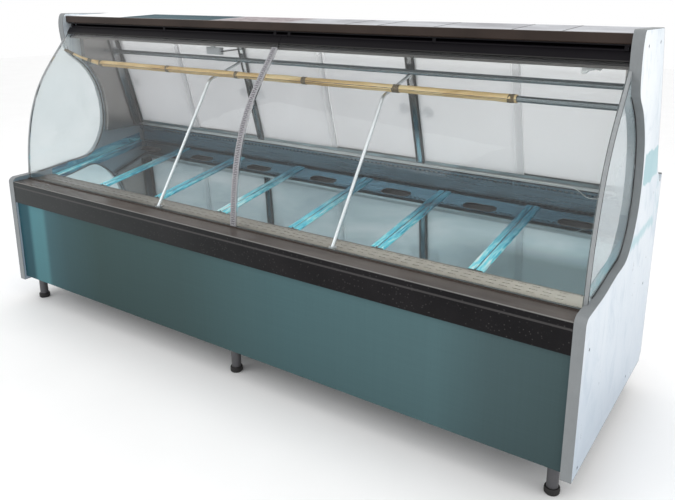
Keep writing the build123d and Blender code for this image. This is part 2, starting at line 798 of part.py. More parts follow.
with BuildPart() as drain_pipe:
    with BuildSketch(Plane.XY.offset(100)):
        with Locations((-300.0, 0)):
            Circle(14.5)
    extrude(amount=199.8)
    # spigot for the hose
    with BuildSketch(Plane.XY.offset(70)):
        with Locations((-300.0, 0)):
            Circle(DRAIN_R)
    extrude(amount=30.0)
    with BuildSketch(Plane.XY.offset(70)):
        with Locations((-300.0, 0)):
            Circle(12.0)
    extrude(amount=229.8, mode=Mode.SUBTRACT)
save(drain_pipe.part, "drain_pipe")
with BuildPart() as base_frame:
    for y0 in (45.0, 715.0):
        with BuildSketch(Plane.YZ.offset(-FIT_X)):
            with BuildLine():
                Polyline(*yz([(y0, 112), (y0 + 40, 112), (y0 + 40, 134),
                              (y0, 134)]), close=True)
            make_face()
        extrude(amount=2 * FIT_X)
    for x in (-LEG_X, -592.0, 0.0, 592.0, LEG_X):
        with BuildSketch(Plane.XY.offset(112)):
            with Locations((x, 0)):
                Rectangle(40.0, 629.8)
        extrude(amount=22.0)
    with BuildSketch(Plane.XY.offset(134.2)):
        Rectangle(2 * FIT_X, 710.0)
        with Locations((-300.0, 0)):
            Circle(17.0, mode=Mode.SUBTRACT)
    extrude(amount=1.5)
save(base_frame.part, "base_frame")

FLOOR = 135.8
with BuildPart() as compressor:
    with BuildSketch(Plane.XY.offset(FLOOR)):
        with Locations((620.0, 160.0)):
            with GridLocations(120.0, 120.0, 2, 2):
                Circle(11.0)
    extrude(amount=14.0)
    with BuildSketch(Plane.XY.offset(FLOOR + 14.1)):
        with Locations((620.0, 160.0)):
            RectangleRounded(160.0, 160.0, 20.0)
    extrude(amount=4.0)
    with BuildSketch(Plane.XZ.offset(-160.0)):
        with BuildLine():
            Polyline((620, FLOOR + 18), (692, FLOOR + 18), (696, FLOOR + 28),
                     (696, FLOOR + 118), (678, FLOOR + 142),
                     (640, FLOOR + 154), (620, FLOOR + 155), close=True)
        make_face()
    revolve(axis=Axis((620, 160, 0), (0, 0, 1)))
    # suction line up to the tub
    with BuildLine() as line_path:
        FilletPolyline((620, 60, 200), (620, -60, 200), (720, -60, 200),
                       (720, -60, 299.8), radius=30.0)
    with BuildSketch(Plane(origin=line_path.wire() @ 0,
                           z_dir=line_path.wire() % 0)):
        Circle(6.0)
    sweep(path=line_path.wire())
save(compressor.part, "compressor")

COND_X, COND_Z = 880.0, 215.0
with BuildPart() as condenser:
    with BuildSketch(Plane.XY.offset(FLOOR)):
        with Locations((COND_X, 318.0)):
            Rectangle(240.0, 50.0)
    extrude(amount=155.0)
    # fan shroud in front of the coil
    with BuildSketch(Plane.XZ.offset(-268.0)):
        with Locations((COND_X, COND_Z)):
            Rectangle(240.0, 154.0)
            Circle(70.0, mode=Mode.SUBTRACT)
    extrude(amount=-24.0)
    # fan motor and its shaft
    with BuildSketch(Plane.XZ.offset(-190.0)):
        with Locations((COND_X, COND_Z)):
            Circle(30.0)
    extrude(amount=-50.0)
    with BuildSketch(Plane.XZ.offset(-240.0)):
        with Locations((COND_X, COND_Z)):
            Circle(3.0)
    extrude(amount=-30.0)
    with BuildSketch(Plane.XY.offset(FLOOR)):
        with Locations((COND_X, 215.0)):
            Rectangle(30.0, 40.0)
    extrude(amount=50.0)
save(condenser.part, "condenser")

with BuildPart() as condenser_fan:
    with BuildSketch(Plane.XZ.offset(-260.0)):
        with Locations((COND_X, COND_Z)):
            Circle(20.0)
    extrude(amount=-26.0)
    for k in range(5):
        direction = Vector(math.cos(math.radians(k * 72.0)), 0,
                           math.sin(math.radians(k * 72.0)))
        root = Plane(origin=Vector(COND_X, 273.0, COND_Z) + direction * 17.0,
                     x_dir=Vector(0, 1, 0).rotate(
                         Axis((0, 0, 0), direction), 32.0),
                     z_dir=direction)
        with BuildSketch(root):
            Rectangle(3.0, 34.0)
        extrude(amount=46.0)
    with BuildSketch(Plane.XZ.offset(-260.0)):
        with Locations((COND_X, COND_Z)):
            Circle(3.06)
    extrude(amount=-12.0, mode=Mode.SUBTRACT)
save(condenser_fan.part, "condenser_fan")

# ---------------------------------------------------------------------------
# Controls on the operator's side
# ---------------------------------------------------------------------------
CTRL_X, CTRL_Z = 1010.0, 620.0
SWITCH_X = CTRL_X - 60.0
KNOB_X = CTRL_X + 50.0
with BuildPart() as control_box:
    with BuildSketch(Plane.XZ.offset(-370.2)):
        with Locations((CTRL_X, CTRL_Z)):
            RectangleRounded(240.0, 90.0, 8.0)
    extrude(amount=-20.0)
    with BuildSketch(Plane.XZ.offset(-390.2)):
        with Locations((SWITCH_X, CTRL_Z)):
            Rectangle(17.0, 26.0)
    extrude(amount=9.0, mode=Mode.SUBTRACT)
    # cord gland low on the rear panel
    with BuildSketch(Plane.XZ.offset(-370.2)):
        with Locations((1150.0, 160.0)):
            RegularPolygon(12.0, 6)
            Circle(5.0, mode=Mode.SUBTRACT)
    extrude(amount=-9.0)
    with BuildSketch(Plane.XZ.offset(-379.2)):
        with Locations((1150.0, 160.0)):
            Circle(9.0)
            Circle(5.0, mode=Mode.SUBTRACT)
    extrude(amount=-9.0)
save(control_box.part, "control_box")

with BuildPart() as light_switch:
    tilt = Plane(origin=(SWITCH_X - 7.5, 388.0, CTRL_Z),
                 x_dir=(0, math.cos(math.radians(8)),
                        math.sin(math.radians(8))),
                 z_dir=(1, 0, 0))
    with BuildSketch(tilt):
        with BuildLine():
            Polyline((-2.5, -10.8), (3.6, -10.8), (2.4, 0), (3.6, 10.8),
                     (-2.5, 10.8), close=True)
        make_face()
    extrude(amount=15.0)
save(light_switch.part, "light_switch")

with BuildPart() as thermostat_knob:
    with BuildSketch(Plane.XZ.offset(-390.6)):
        with Locations((KNOB_X, CTRL_Z)):
            Circle(15.0)
    extrude(amount=-2.4)
    with BuildSketch(Plane.XZ.offset(-393.0)):
        with Locations((KNOB_X, CTRL_Z)):
            Rectangle(7.0, 26.0)
    extrude(amount=-6.0)
save(thermostat_knob.part, "thermostat_knob")
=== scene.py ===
import math
import random

import bpy
import bmesh
from mathutils import Matrix, Vector


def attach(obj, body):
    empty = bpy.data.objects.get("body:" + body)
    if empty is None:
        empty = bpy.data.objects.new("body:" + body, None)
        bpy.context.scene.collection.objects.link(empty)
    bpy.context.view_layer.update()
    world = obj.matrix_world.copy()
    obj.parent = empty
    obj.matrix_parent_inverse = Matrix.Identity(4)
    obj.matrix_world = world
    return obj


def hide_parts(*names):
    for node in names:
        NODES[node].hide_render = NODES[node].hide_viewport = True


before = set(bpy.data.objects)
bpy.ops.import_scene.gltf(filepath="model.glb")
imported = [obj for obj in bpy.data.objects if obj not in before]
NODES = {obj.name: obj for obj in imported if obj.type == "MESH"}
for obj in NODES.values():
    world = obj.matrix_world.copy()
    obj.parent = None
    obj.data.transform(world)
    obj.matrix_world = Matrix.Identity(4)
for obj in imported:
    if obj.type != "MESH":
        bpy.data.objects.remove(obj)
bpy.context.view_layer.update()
random.seed(11)

scene = bpy.context.scene

# ---------------------------------------------------------------------------
# Camera
# ---------------------------------------------------------------------------
yaw, pitch, roll = (math.radians(v) for v in (32.615, -14.734, 0.589))
fwd = Vector((-math.sin(yaw) * math.cos(pitch), math.cos(yaw) * math.cos(pitch),
              math.sin(pitch)))
right = Vector((math.cos(yaw), math.sin(yaw), 0))
up = right.cross(fwd)
r_ax = right * math.cos(roll) + up * math.sin(roll)
u_ax = -right * math.sin(roll) + up * math.cos(roll)
cam_data = bpy.data.cameras.new("view_camera")
cam = bpy.data.objects.new("view_camera", cam_data)
scene.collection.objects.link(cam)
m4 = Matrix((r_ax, u_ax, -fwd)).transposed().to_4x4()
m4.translation = Vector((1.642791, -1.997076, 1.310653))
cam.matrix_world = m4
cam_data.sensor_width = 36.0
cam_data.sensor_fit = "HORIZONTAL"
cam_data.lens = 692.264 / 675 * 36
cam_data.shift_x = (337.5 - 371.929) / 675
cam_data.shift_y = (184.411 - 250) / 675
cam_data.clip_start = 0.05
cam_data.clip_end = 60
scene.camera = cam

# ---------------------------------------------------------------------------
# Light
# ---------------------------------------------------------------------------
scene.view_settings.view_transform = "Standard"
world = bpy.data.worlds.new("studio")
scene.world = world
world.use_nodes = True
wt = world.node_tree
bg = wt.nodes["Background"]
bg.inputs["Color"].default_value = (1.0, 1.0, 1.0, 1)
bg.inputs["Strength"].default_value = 1.0


def area_light(name, loc, target, size, size_y, power, colour=(1, 1, 1)):
    data = bpy.data.lights.new(name, "AREA")
    data.shape = "RECTANGLE"
    data.size = size
    data.size_y = size_y
    data.energy = power
    data.color = colour
    ob = bpy.data.objects.new(name, data)
    scene.collection.objects.link(ob)
    d = Vector(target) - Vector(loc)
    ob.rotation_euler = d.to_track_quat("-Z", "Y").to_euler()
    ob.location = loc
    ob.visible_glossy = False
    return ob


area_light("soft_front", (-2.2, -3.4, 3.2), (0, 0, 0.6), 2.6, 2.0, 28)
area_light("soft_right", (4.2, -0.6, 2.4), (0.6, 0, 0.6), 2.0, 2.0, 22)
area_light("soft_top", (0.0, 0.3, 4.2), (0, 0, 0.4), 3.5, 2.0, 26)


# ---------------------------------------------------------------------------
# Material tools
# ---------------------------------------------------------------------------
def lin(c):
    """sRGB 0-255 to linear."""
    out = []
    for v in c[:3]:
        v = v / 255.0
        out.append(v / 12.92 if v <= 0.04045 else ((v + 0.055) / 1.055) ** 2.4)
    return tuple(out) + (1.0,)


class Mat:
    def __init__(self, name, rough=0.5, metal=0.0, **more):
        self.m = bpy.data.materials.new(name)
        self.m.use_nodes = True
        self.t = self.m.node_tree
        self.b = self.t.nodes["Principled BSDF"]
        self.out = self.t.nodes["Material Output"]
        self.b.inputs["Roughness"].default_value = rough
        self.b.inputs["Metallic"].default_value = metal
        for k, v in more.items():
            self.b.inputs[k.replace("_", " ")].default_value = v
        self._co = None

    def node(self, kind, **props):
        n = self.t.nodes.new(kind)
        for k, v in props.items():
            setattr(n, k, v)
        return n

    def link(self, a, b):
        self.t.links.new(a, b)

    def coord(self, scale=(1, 1, 1), loc=(0, 0, 0), rot=(0, 0, 0)):
        if self._co is None:
            self._co = self.node("ShaderNodeTexCoord")
        mp = self.node("ShaderNodeMapping")
        mp.inputs["Scale"].default_value = scale
        mp.inputs["Location"].default_value = loc
        mp.inputs["Rotation"].default_value = rot
        self.link(self._co.outputs["Object"], mp.inputs["Vector"])
        return mp.outputs["Vector"]

    def axis(self, which):
        if self._co is None:
            self._co = self.node("ShaderNodeTexCoord")
        s = self.node("ShaderNodeSeparateXYZ")
        self.link(self._co.outputs["Object"], s.inputs[0])
        return s.outputs[which]

    def noise(self, scale, co, detail=4.0, rough=0.55, distort=0.0):
        n = self.node("ShaderNodeTexNoise")
        n.inputs["Scale"].default_value = scale
        n.inputs["Detail"].default_value = detail
        n.inputs["Roughness"].default_value = rough
        n.inputs["Distortion"].default_value = distort
        self.link(co, n.inputs["Vector"])
        return n.outputs["Fac"]

    def voronoi(self, scale, co, feature="F1"):
        n = self.node("ShaderNodeTexVoronoi", feature=feature)
        n.inputs["Scale"].default_value = scale
        self.link(co, n.inputs["Vector"])
        return n

    def ramp(self, fac, stops, interp="LINEAR"):
        n = self.node("ShaderNodeValToRGB")
        cr = n.color_ramp
        cr.interpolation = interp
        while len(cr.elements) > 1:
            cr.elements.remove(cr.elements[-1])
        cr.elements[0].position = stops[0][0]
        cr.elements[0].color = stops[0][1]
        for p, c in stops[1:]:
            e = cr.elements.new(p)
            e.color = c
        self.link(fac, n.inputs["Fac"])
        return n.outputs["Color"]

    def math(self, op, a, b=None, clamp=False):
        n = self.node("ShaderNodeMath", operation=op)
        n.use_clamp = clamp
        for i, v in enumerate((a, b)):
            if v is None:
                continue
            if isinstance(v, (int, float)):
                n.inputs[i].default_value = v
            else:
                self.link(v, n.inputs[i])
        return n.outputs[0]

    def span(self, value, lo, hi, soft):
        """1 between lo and hi, with soft edges."""
        a = self.node("ShaderNodeMapRange")
        a.inputs["From Min"].default_value = lo - soft
        a.inputs["From Max"].default_value = lo + soft
        self.link(value, a.inputs["Value"])
        b = self.node("ShaderNodeMapRange")
        b.inputs["From Min"].default_value = hi - soft
        b.inputs["From Max"].default_value = hi + soft
        b.inputs["To Min"].default_value = 1.0
        b.inputs["To Max"].default_value = 0.0
        self.link(value, b.inputs["Value"])
        return self.math("MULTIPLY", a.outputs[0], b.outputs[0])

    def mix(self, fac, a, b, blend="MIX"):
        n = self.node("ShaderNodeMix", data_type="RGBA", blend_type=blend)
        for sock, v in ((n.inputs[0], fac), (n.inputs[6], a), (n.inputs[7], b)):
            if isinstance(v, (int, float)):
                sock.default_value = v
            elif isinstance(v, tuple):
                sock.default_value = v
            else:
                self.link(v, sock)
        return n.outputs[2]

    def colour(self, c):
        self.link(c, self.b.inputs["Base Color"])

    def rough(self, fac, lo, hi):
        n = self.node("ShaderNodeMapRange")
        n.inputs["To Min"].default_value = lo
        n.inputs["To Max"].default_value = hi
        self.link(fac, n.inputs["Value"])
        self.link(n.outputs[0], self.b.inputs["Roughness"])

    def bump(self, height, strength=0.2, dist=0.001, also=None):
        n = self.node("ShaderNodeBump")
        n.inputs["Strength"].default_value = strength
        n.inputs["Distance"].default_value = dist
        self.link(height, n.inputs["Height"])
        if also is not None:
            self.link(also, n.inputs["Normal"])
        return n.outputs["Normal"]

    def normal(self, n):
        self.link(n, self.b.inputs["Normal"])


def simple(name, rgb, rough=0.5, metal=0.0, var=0.12, scale=40.0, bump=0.1,
           dist=0.0005, stretch=(1, 1, 1), **more):
    """Plain painted, moulded or metal surface with uneven tone and fine relief."""
    s = Mat(name, rough, metal, **more)
    co = s.coord(stretch)
    n1 = s.noise(scale, co, 5)
    n2 = s.noise(scale * 0.12, s.coord(), 3)
    base = lin(rgb)
    dark = tuple(v * (1 - var) for v in base[:3]) + (1,)
    light = tuple(min(1, v * (1 + var)) for v in base[:3]) + (1,)
    mixed = s.math("ADD", s.math("MULTIPLY", n1, 0.5), s.math("MULTIPLY", n2, 0.5))
    s.colour(s.ramp(mixed, [(0.32, dark), (0.68, light)]))
    s.rough(n1, max(0.02, rough - 0.06), min(1, rough + 0.08))
    s.normal(s.bump(n1, bump, dist))
    return s


def brushed(name, rgb, rough=0.28, along="X", var=0.1, metal=1.0, fine=260.0,
            bump=0.12, aniso=0.0, **more):
    """Brushed metal: fine streaks along one axis."""
    st = {"X": (0.012, 1, 1), "Y": (1, 0.012, 1), "Z": (1, 1, 0.012)}[along]
    s = Mat(name, rough, metal, **more)
    n1 = s.noise(fine, s.coord(st), 3, 0.6)
    n2 = s.noise(3.0, s.coord(), 3)
    base = lin(rgb)
    dark = tuple(v * (1 - var) for v in base[:3]) + (1,)
    light = tuple(min(1, v * (1 + var)) for v in base[:3]) + (1,)
    f = s.math("ADD", s.math("MULTIPLY", n1, 0.6), s.math("MULTIPLY", n2, 0.4))
    s.colour(s.ramp(f, [(0.3, dark), (0.7, light)]))
    s.rough(n1, max(0.03, rough - 0.08), rough + 0.1)
    s.normal(s.bump(n1, bump, 0.0004))
    return s


# ---------------------------------------------------------------------------
# Materials
# ---------------------------------------------------------------------------
def glass(name, tint, rough=0.02, film=0.0, film_rgb=(235, 240, 242), bump=0.02,
          smear=0.0, cut=(), through=0.55, ior=1.45):
    """Pane that lets lamps through; film adds a milky protective layer."""
    s = Mat(name, rough, 0.0, IOR=ior)
    s.b.inputs["Transmission Weight"].default_value = 1.0
    s.b.inputs["Base Color"].default_value = tint
    n1 = s.noise(6.0, s.coord(), 3)
    s.normal(s.bump(n1, bump, 0.0008))
    tr = s.node("ShaderNodeBsdfTransparent")
    tr.inputs["Color"].default_value = (0.97, 0.985, 0.985, 1)
    lp = s.node("ShaderNodeLightPath")
    mx = s.node("ShaderNodeMixShader")
    s.link(lp.outputs["Is Shadow Ray"], mx.inputs[0])
    s.link(s.b.outputs[0], mx.inputs[1])
    s.link(tr.outputs[0], mx.inputs[2])
    last = mx.outputs[0]
    if film > 0:
        df = s.node("ShaderNodeBsdfDiffuse")
        tl = s.node("ShaderNodeBsdfTranslucent")
        half = s.node("ShaderNodeMixShader")
        half.inputs[0].default_value = through
        cloud = s.noise(2.2, s.coord(), 4, 0.6)
        c0 = lin(film_rgb)
        c1 = tuple(v * 0.92 for v in c0[:3]) + (1,)
        fc = s.ramp(cloud, [(0.35, c1), (0.65, c0)])
        if cut:
            side = s.node("ShaderNodeMapRange")
            side.inputs["From Min"].default_value = -0.4
            side.inputs["From Max"].default_value = 1.0
            side.inputs["To Max"].default_value = 0.9
            s.link(s.axis("X"), side.inputs["Value"])
            fc = s.mix(side.outputs[0], fc, lin((252, 252, 253)))
        s.link(fc, df.inputs["Color"])
        s.link(fc, tl.inputs["Color"])
        s.link(df.outputs[0], half.inputs[1])
        s.link(tl.outputs[0], half.inputs[2])
        f = s.node("ShaderNodeMapRange")
        f.inputs["To Min"].default_value = max(0, film - smear)
        f.inputs["To Max"].default_value = min(1, film + smear)
        s.link(cloud, f.inputs["Value"])
        amount = f.outputs[0]
        if cut:
            thin = s.node("ShaderNodeMapRange")
            thin.inputs["From Min"].default_value = 1.02
            thin.inputs["From Max"].default_value = 1.15
            thin.inputs["To Min"].default_value = 1.0
            thin.inputs["To Max"].default_value = 0.25
            s.link(s.axis("Z"), thin.inputs["Value"])
            amount = s.math("MULTIPLY", amount, thin.outputs[0])
        for lo, hi in cut:
            keep = s.math("SUBTRACT", 1.0, s.math("MULTIPLY", s.span(s.axis("X"), lo, hi, 0.002), 0.3))
            amount = s.math("MULTIPLY", amount, keep)
            for edge in (lo + 0.001, hi - 0.001):
                rim = s.span(s.axis("X"), edge - 0.0012, edge + 0.0012, 0.0006)
                amount = s.math("MAXIMUM", amount, s.math("MULTIPLY", rim, 0.8))
        mx2 = s.node("ShaderNodeMixShader")
        s.link(amount, mx2.inputs[0])
        s.link(last, mx2.inputs[1])
        s.link(half.outputs[0], mx2.inputs[2])
        last = mx2.outputs[0]
    s.link(last, s.out.inputs["Surface"])
    return s


M = {}
M["pane"] = glass("pane_glass", (0.965, 0.985, 0.98, 1), 0.0, ior=1.36)
M["side_pane"] = glass("side_pane_glass", (0.93, 0.965, 0.975, 1), 0.0, film=0.26,
                       film_rgb=(214, 228, 234), smear=0.22)
M["rear_pane"] = glass("rear_pane_glass", (0.97, 0.97, 0.975, 1), 0.02, film=0.84,
                       film_rgb=(236, 235, 237), smear=0.05, through=0.6,
                       cut=((-0.8175, -0.7875), (-0.015, 0.015), (0.7875, 0.8175)))
M["clear_part"] = glass("milky_acrylic", (0.96, 0.97, 0.975, 1), 0.1, film=0.9,
                        film_rgb=(244, 245, 246), smear=0.04, through=0.88)

M["pane_edge"] = simple("pane_edge", (104, 112, 112), 0.25, 0.0, 0.15, 90, 0.1)
M["rubber"] = simple("black_rubber", (24, 22, 22), 0.55, 0.0, 0.2, 220, 0.3, 0.0004)
M["seal"] = simple("brown_seal", (52, 40, 33), 0.45, 0.0, 0.25, 160, 0.25, 0.0004,
                   stretch=(0.05, 1, 1))
M["chrome"] = brushed("bright_chrome", (226, 229, 232), 0.3, "X", 0.04, 1.0, 300, 0.03)
M["edge_band"] = simple("edge_band_satin", (132, 136, 138), 0.5, 0.15, 0.06, 200, 0.06,
                        stretch=(1, 1, 0.2), Specular_IOR_Level=0.3)
M["slim_frame"] = simple("slim_window_frame", (152, 156, 158), 0.45, 0.3, 0.08, 120, 0.06,
                         Specular_IOR_Level=0.3)
M["door_trim"] = simple("door_trim", (196, 198, 201), 0.35, 0.0, 0.05, 120, 0.05)
M["leg_grey"] = simple("leg_grey", (88, 88, 91), 0.42, 0.5, 0.12, 60, 0.06)
M["clamp_black"] = simple("clamp_black", (17, 15, 19), 0.4, 0.0, 0.25, 40, 0.06,
                          stretch=(0.1, 1, 1), Specular_IOR_Level=0.12)
M["rail"] = brushed("rail_steel", (118, 126, 130), 0.24, "X", 0.12, 1.0, 240, 0.08)
M["alu"] = brushed("satin_aluminium", (158, 161, 163), 0.34, "X", 0.07, 1.0, 300, 0.1)
M["alu_dark"] = brushed("dark_aluminium", (92, 90, 88), 0.36, "X", 0.14, 1.0, 300, 0.1)
M["frame_alu"] = brushed("frame_aluminium", (186, 190, 192), 0.4, "Z", 0.08, 0.7, 220, 0.08)
M["galv"] = simple("galvanised", (118, 121, 124), 0.42, 0.8, 0.2, 26, 0.12)
M["white_pvc"] = simple("white_plastic", (222, 223, 220), 0.38, 0.0, 0.05, 60, 0.08)
M["lamp"] = simple("lamp_tube", (240, 241, 240), 0.22, 0.0, 0.03, 20, 0.02)
M["cap_alu"] = brushed("lamp_cap", (190, 192, 195), 0.3, "Z", 0.06, 1.0, 200, 0.06)
M["fan"] = simple("fan_plastic", (30, 30, 31), 0.42, 0.0, 0.2, 120, 0.15)
M["machine"] = simple("black_enamel", (22, 22, 24), 0.28, 0.0, 0.3, 60, 0.12, Coat_Weight=0.5)
M["control"] = simple("control_plastic", (38, 39, 42), 0.5, 0.0, 0.12, 400, 0.25)
M["screw"] = simple("screw_steel", (96, 96, 98), 0.32, 1.0, 0.2, 260, 0.15)
# the canopy is white, and its tone is raised further to stand in for lamp light on the soffit: own colour plus painted
# light
M["canopy_white_and_painted_lamp_light"] = simple("canopy_white_and_painted_lamp_light", (246, 247, 247), 0.35, 0.0, 0.03, 14, 0.05)
def joint_material():
    s = Mat("joint_plastic", 0.4, 0.0, Coat_Weight=0.15)
    z, x = s.axis("Z"), s.axis("X")
    ph = s.math("ADD", s.math("MULTIPLY", z, 620.0), s.math("MULTIPLY", x, 260.0))
    w = s.math("SINE", ph)
    n = s.noise(120.0, s.coord(), 4)
    base = s.ramp(n, [(0.35, lin((150, 150, 154))), (0.65, lin((170, 170, 173)))])
    mark = s.ramp(w, [(0.35, (0, 0, 0, 1)), (0.75, (1, 1, 1, 1))])
    mid = s.span(x, -0.0062, 0.0056, 0.001)
    c = s.mix(s.math("MULTIPLY", s.math("MULTIPLY", mark, mid), 0.75), base, lin((98, 94, 101)))
    s.colour(c)
    s.rough(n, 0.3, 0.5)
    s.normal(s.bump(w, 0.2, 0.0008))
    return s


M["rib_plastic"] = joint_material()
# dark teal for the painted shade dashes at the duct foot
M["painted_foot_shade"] = simple("painted_foot_shade_dark", (18, 38, 46), 0.5, 0.0, 0.2, 90, 0.1, Specular_IOR_Level=0.1)
M["rib_tooth"] = simple("joint_tooth", (88, 84, 92), 0.45, 0.0, 0.2, 200, 0.1)
M["black_sheet"] = simple("valance_black", (17, 15, 20), 0.42, 0.0, 0.3, 9, 0.05,
                          stretch=(0.2, 1, 3), Specular_IOR_Level=0.05)
M["tape"] = simple("sleeve_tape", (96, 78, 44), 0.42, 0.0, 0.35, 120, 0.4)
M["wire_dark"] = simple("wire_dark", (38, 36, 38), 0.5, 0.0, 0.3, 300, 0.2)
M["film_scrap"] = simple("film_scrap", (238, 240, 241), 0.35, 0.0, 0.05, 60, 0.4, 0.002)
M["block"] = simple("clear_block", (156, 160, 164), 0.35, 0.0, 0.12, 160, 0.3)
M["print_white"] = simple("print_white", (214, 214, 212), 0.6, 0.0, 0.05, 200, 0.05)
M["red_lens"] = simple("switch_lens", (176, 40, 30), 0.25, 0.0, 0.15, 90, 0.05, Coat_Weight=0.6)
M["display"] = simple("display_window", (16, 14, 16), 0.12, 0.0, 0.2, 60, 0.02, Coat_Weight=0.8)
M["copper"] = simple("copper_pipe", (176, 108, 74), 0.3, 1.0, 0.2, 60, 0.1)
M["insulation"] = simple("pipe_foam", (36, 36, 38), 0.85, 0.0, 0.3, 160, 0.5)
M["label_grey"] = simple("label_blank", (196, 197, 198), 0.5, 0.0, 0.05, 60, 0.05)


# -- film strips on the tray ribs: glossy teal-cyan film, wrinkled
def film_material(name, deep, mid, bright, rough=0.16, wrinkle=0.5):
    s = Mat(name, rough, 0.35, Coat_Weight=0.6)
    s.b.inputs["Coat Roughness"].default_value = 0.06
    n1 = s.noise(9.0, s.coord((1, 0.35, 1)), 5, 0.6, 0.6)
    n2 = s.noise(46.0, s.coord((1.6, 0.4, 1)), 4, 0.6, 1.2)
    f = s.math("ADD", s.math("MULTIPLY", n1, 0.65), s.math("MULTIPLY", n2, 0.35))
    s.colour(s.ramp(f, [(0.36, lin(deep)), (0.5, lin(mid)), (0.66, lin(bright))]))
    nb = s.bump(n2, wrinkle, 0.0016)
    s.normal(s.bump(n1, wrinkle * 0.6, 0.003, nb))
    s.rough(n2, rough - 0.06, rough + 0.16)
    return s


def rib_film_material():
    s = Mat("teal_film_strip", 0.14, 0.15, Coat_Weight=0.6)
    s.b.inputs["Coat Roughness"].default_value = 0.05
    n1 = s.noise(7.0, s.coord((1, 0.5, 1)), 5, 0.6, 0.6)
    n2 = s.noise(70.0, s.coord((2.4, 0.16, 1)), 4, 0.6, 1.0)
    f = s.math("ADD", s.math("MULTIPLY", n1, 0.45), s.math("MULTIPLY", n2, 0.55))
    # front of the film brighter with near-white glints: painted highlight; darker rear: painted shade
    painted_lit_front = s.ramp(f, [(0.36, lin((0, 122, 158))), (0.45, lin((16, 196, 228))),
                      (0.52, lin((120, 240, 250))), (0.6, lin((240, 255, 255)))])
    painted_shaded_rear = s.ramp(f, [(0.36, lin((14, 64, 86))), (0.5, lin((40, 124, 150))),
                     (0.64, lin((116, 194, 212)))])
    fr = s.node("ShaderNodeMapRange")
    fr.inputs["From Min"].default_value = 0.14
    fr.inputs["From Max"].default_value = -0.09
    s.link(s.axis("Y"), fr.inputs["Value"])
    s.colour(s.mix(fr.outputs[0], painted_shaded_rear, painted_lit_front))
    nb = s.bump(n2, 0.5, 0.0016)
    s.normal(s.bump(n1, 0.3, 0.003, nb))
    s.rough(n2, 0.08, 0.3)
    return s


M["film_rib"] = rib_film_material()
M["film_top"] = film_material("teal_film_top", (92, 126, 136), (120, 152, 160),
                              (150, 178, 184), 0.3, 0.4)


# -- front panel: brushed steel under a teal film, tone varies along the length
def front_panel_material():
    s = Mat("front_panel_film", 0.42, 0.0)
    s.b.inputs["Specular IOR Level"].default_value = 0.07
    streak = s.noise(330.0, s.coord((0.006, 1, 1)), 3, 0.6)
    grain = s.noise(160.0, s.coord((1, 1, 0.01)), 3, 0.6)
    cloud = s.noise(1.5, s.coord((1, 1, 0.5)), 3, 0.5)
    x = s.axis("X")
    pos = s.math("DIVIDE", s.math("ADD", x, 1.25), 2.5)
    wob = s.math("MULTIPLY", s.math("SUBTRACT", cloud, 0.5), 0.006)
    pos = s.math("ADD", pos, wob)

    def at(v):
        return (v + 1.25) / 2.5
    c = s.ramp(pos, [
        (at(-1.233), lin((40, 76, 86))), (at(-1.15), lin((44, 80, 90))),
        (at(-1.128), lin((78, 124, 132))), (at(-1.045), lin((80, 125, 132))),
        (at(-1.02), lin((64, 95, 102))), (at(-0.90), lin((59, 84, 88))),
        (at(-0.68), lin((55, 75, 75))), (at(-0.22), lin((61, 81, 82))),
        (at(0.10), lin((68, 92, 95))), (at(0.30), lin((71, 97, 101))),
        (at(0.60), lin((75, 101, 105))), (at(0.84), lin((77, 102, 106))),
        (at(1.0), lin((69, 88, 91))), (at(1.22), lin((64, 81, 83)))])
    z = s.axis("Z")
    zf = s.node("ShaderNodeMapRange")
    zf.inputs["From Min"].default_value = 0.11
    zf.inputs["From Max"].default_value = 0.455
    zf.inputs["To Min"].default_value = 0.86
    zf.inputs["To Max"].default_value = 1.04
    s.link(z, zf.inputs["Value"])
    g = s.math("ADD", s.math("MULTIPLY", streak, 0.16), s.math("MULTIPLY", grain, 0.10))
    g = s.math("ADD", g, s.math("MULTIPLY", cloud, 0.16))
    g = s.math("ADD", g, 0.79)
    g = s.math("MULTIPLY", g, zf.outputs[0])
    comb = s.node("ShaderNodeCombineColor")
    for i in range(3):
        s.link(g, comb.inputs[i])
    s.colour(s.mix(1.0, c, comb.outputs[0], "MULTIPLY"))
    s.rough(streak, 0.36, 0.52)
    s.normal(s.bump(streak, 0.06, 0.0004))
    return s


M["front_panel"] = front_panel_material()


# -- dark granite with fine pale specks
def stone_material(name, base, speck, lightness=1.0):
    s = Mat(name, 0.24, 0.0, Specular_IOR_Level=0.16)
    v = s.voronoi(420.0, s.coord())
    v2 = s.voronoi(170.0, s.coord())
    cloud = s.noise(5.0, s.coord(), 4)
    c = s.ramp(cloud, [(0.35, lin(base)), (0.7, lin(tuple(min(255, b * 1.25) for b in base)))])
    m1 = s.ramp(v.outputs["Distance"], [(0.0, (1, 1, 1, 1)), (0.11, (0, 0, 0, 1))])
    m2 = s.ramp(v2.outputs["Distance"], [(0.0, (1, 1, 1, 1)), (0.09, (0, 0, 0, 1))])
    c = s.mix(s.math("MULTIPLY", m1, 0.55 * lightness), c, lin(speck))
    c = s.mix(s.math("MULTIPLY", m2, 0.7 * lightness), c, lin(tuple(min(255, k * 1.3) for k in speck)))
    s.colour(c)
    s.rough(cloud, 0.12, 0.26)
    s.normal(s.bump(cloud, 0.04, 0.0006))
    return s


M["stone"] = stone_material("dark_granite", (34, 32, 34), (92, 96, 100))
M["fascia"] = stone_material("fascia_granite", (46, 38, 34), (92, 88, 86), 0.5)
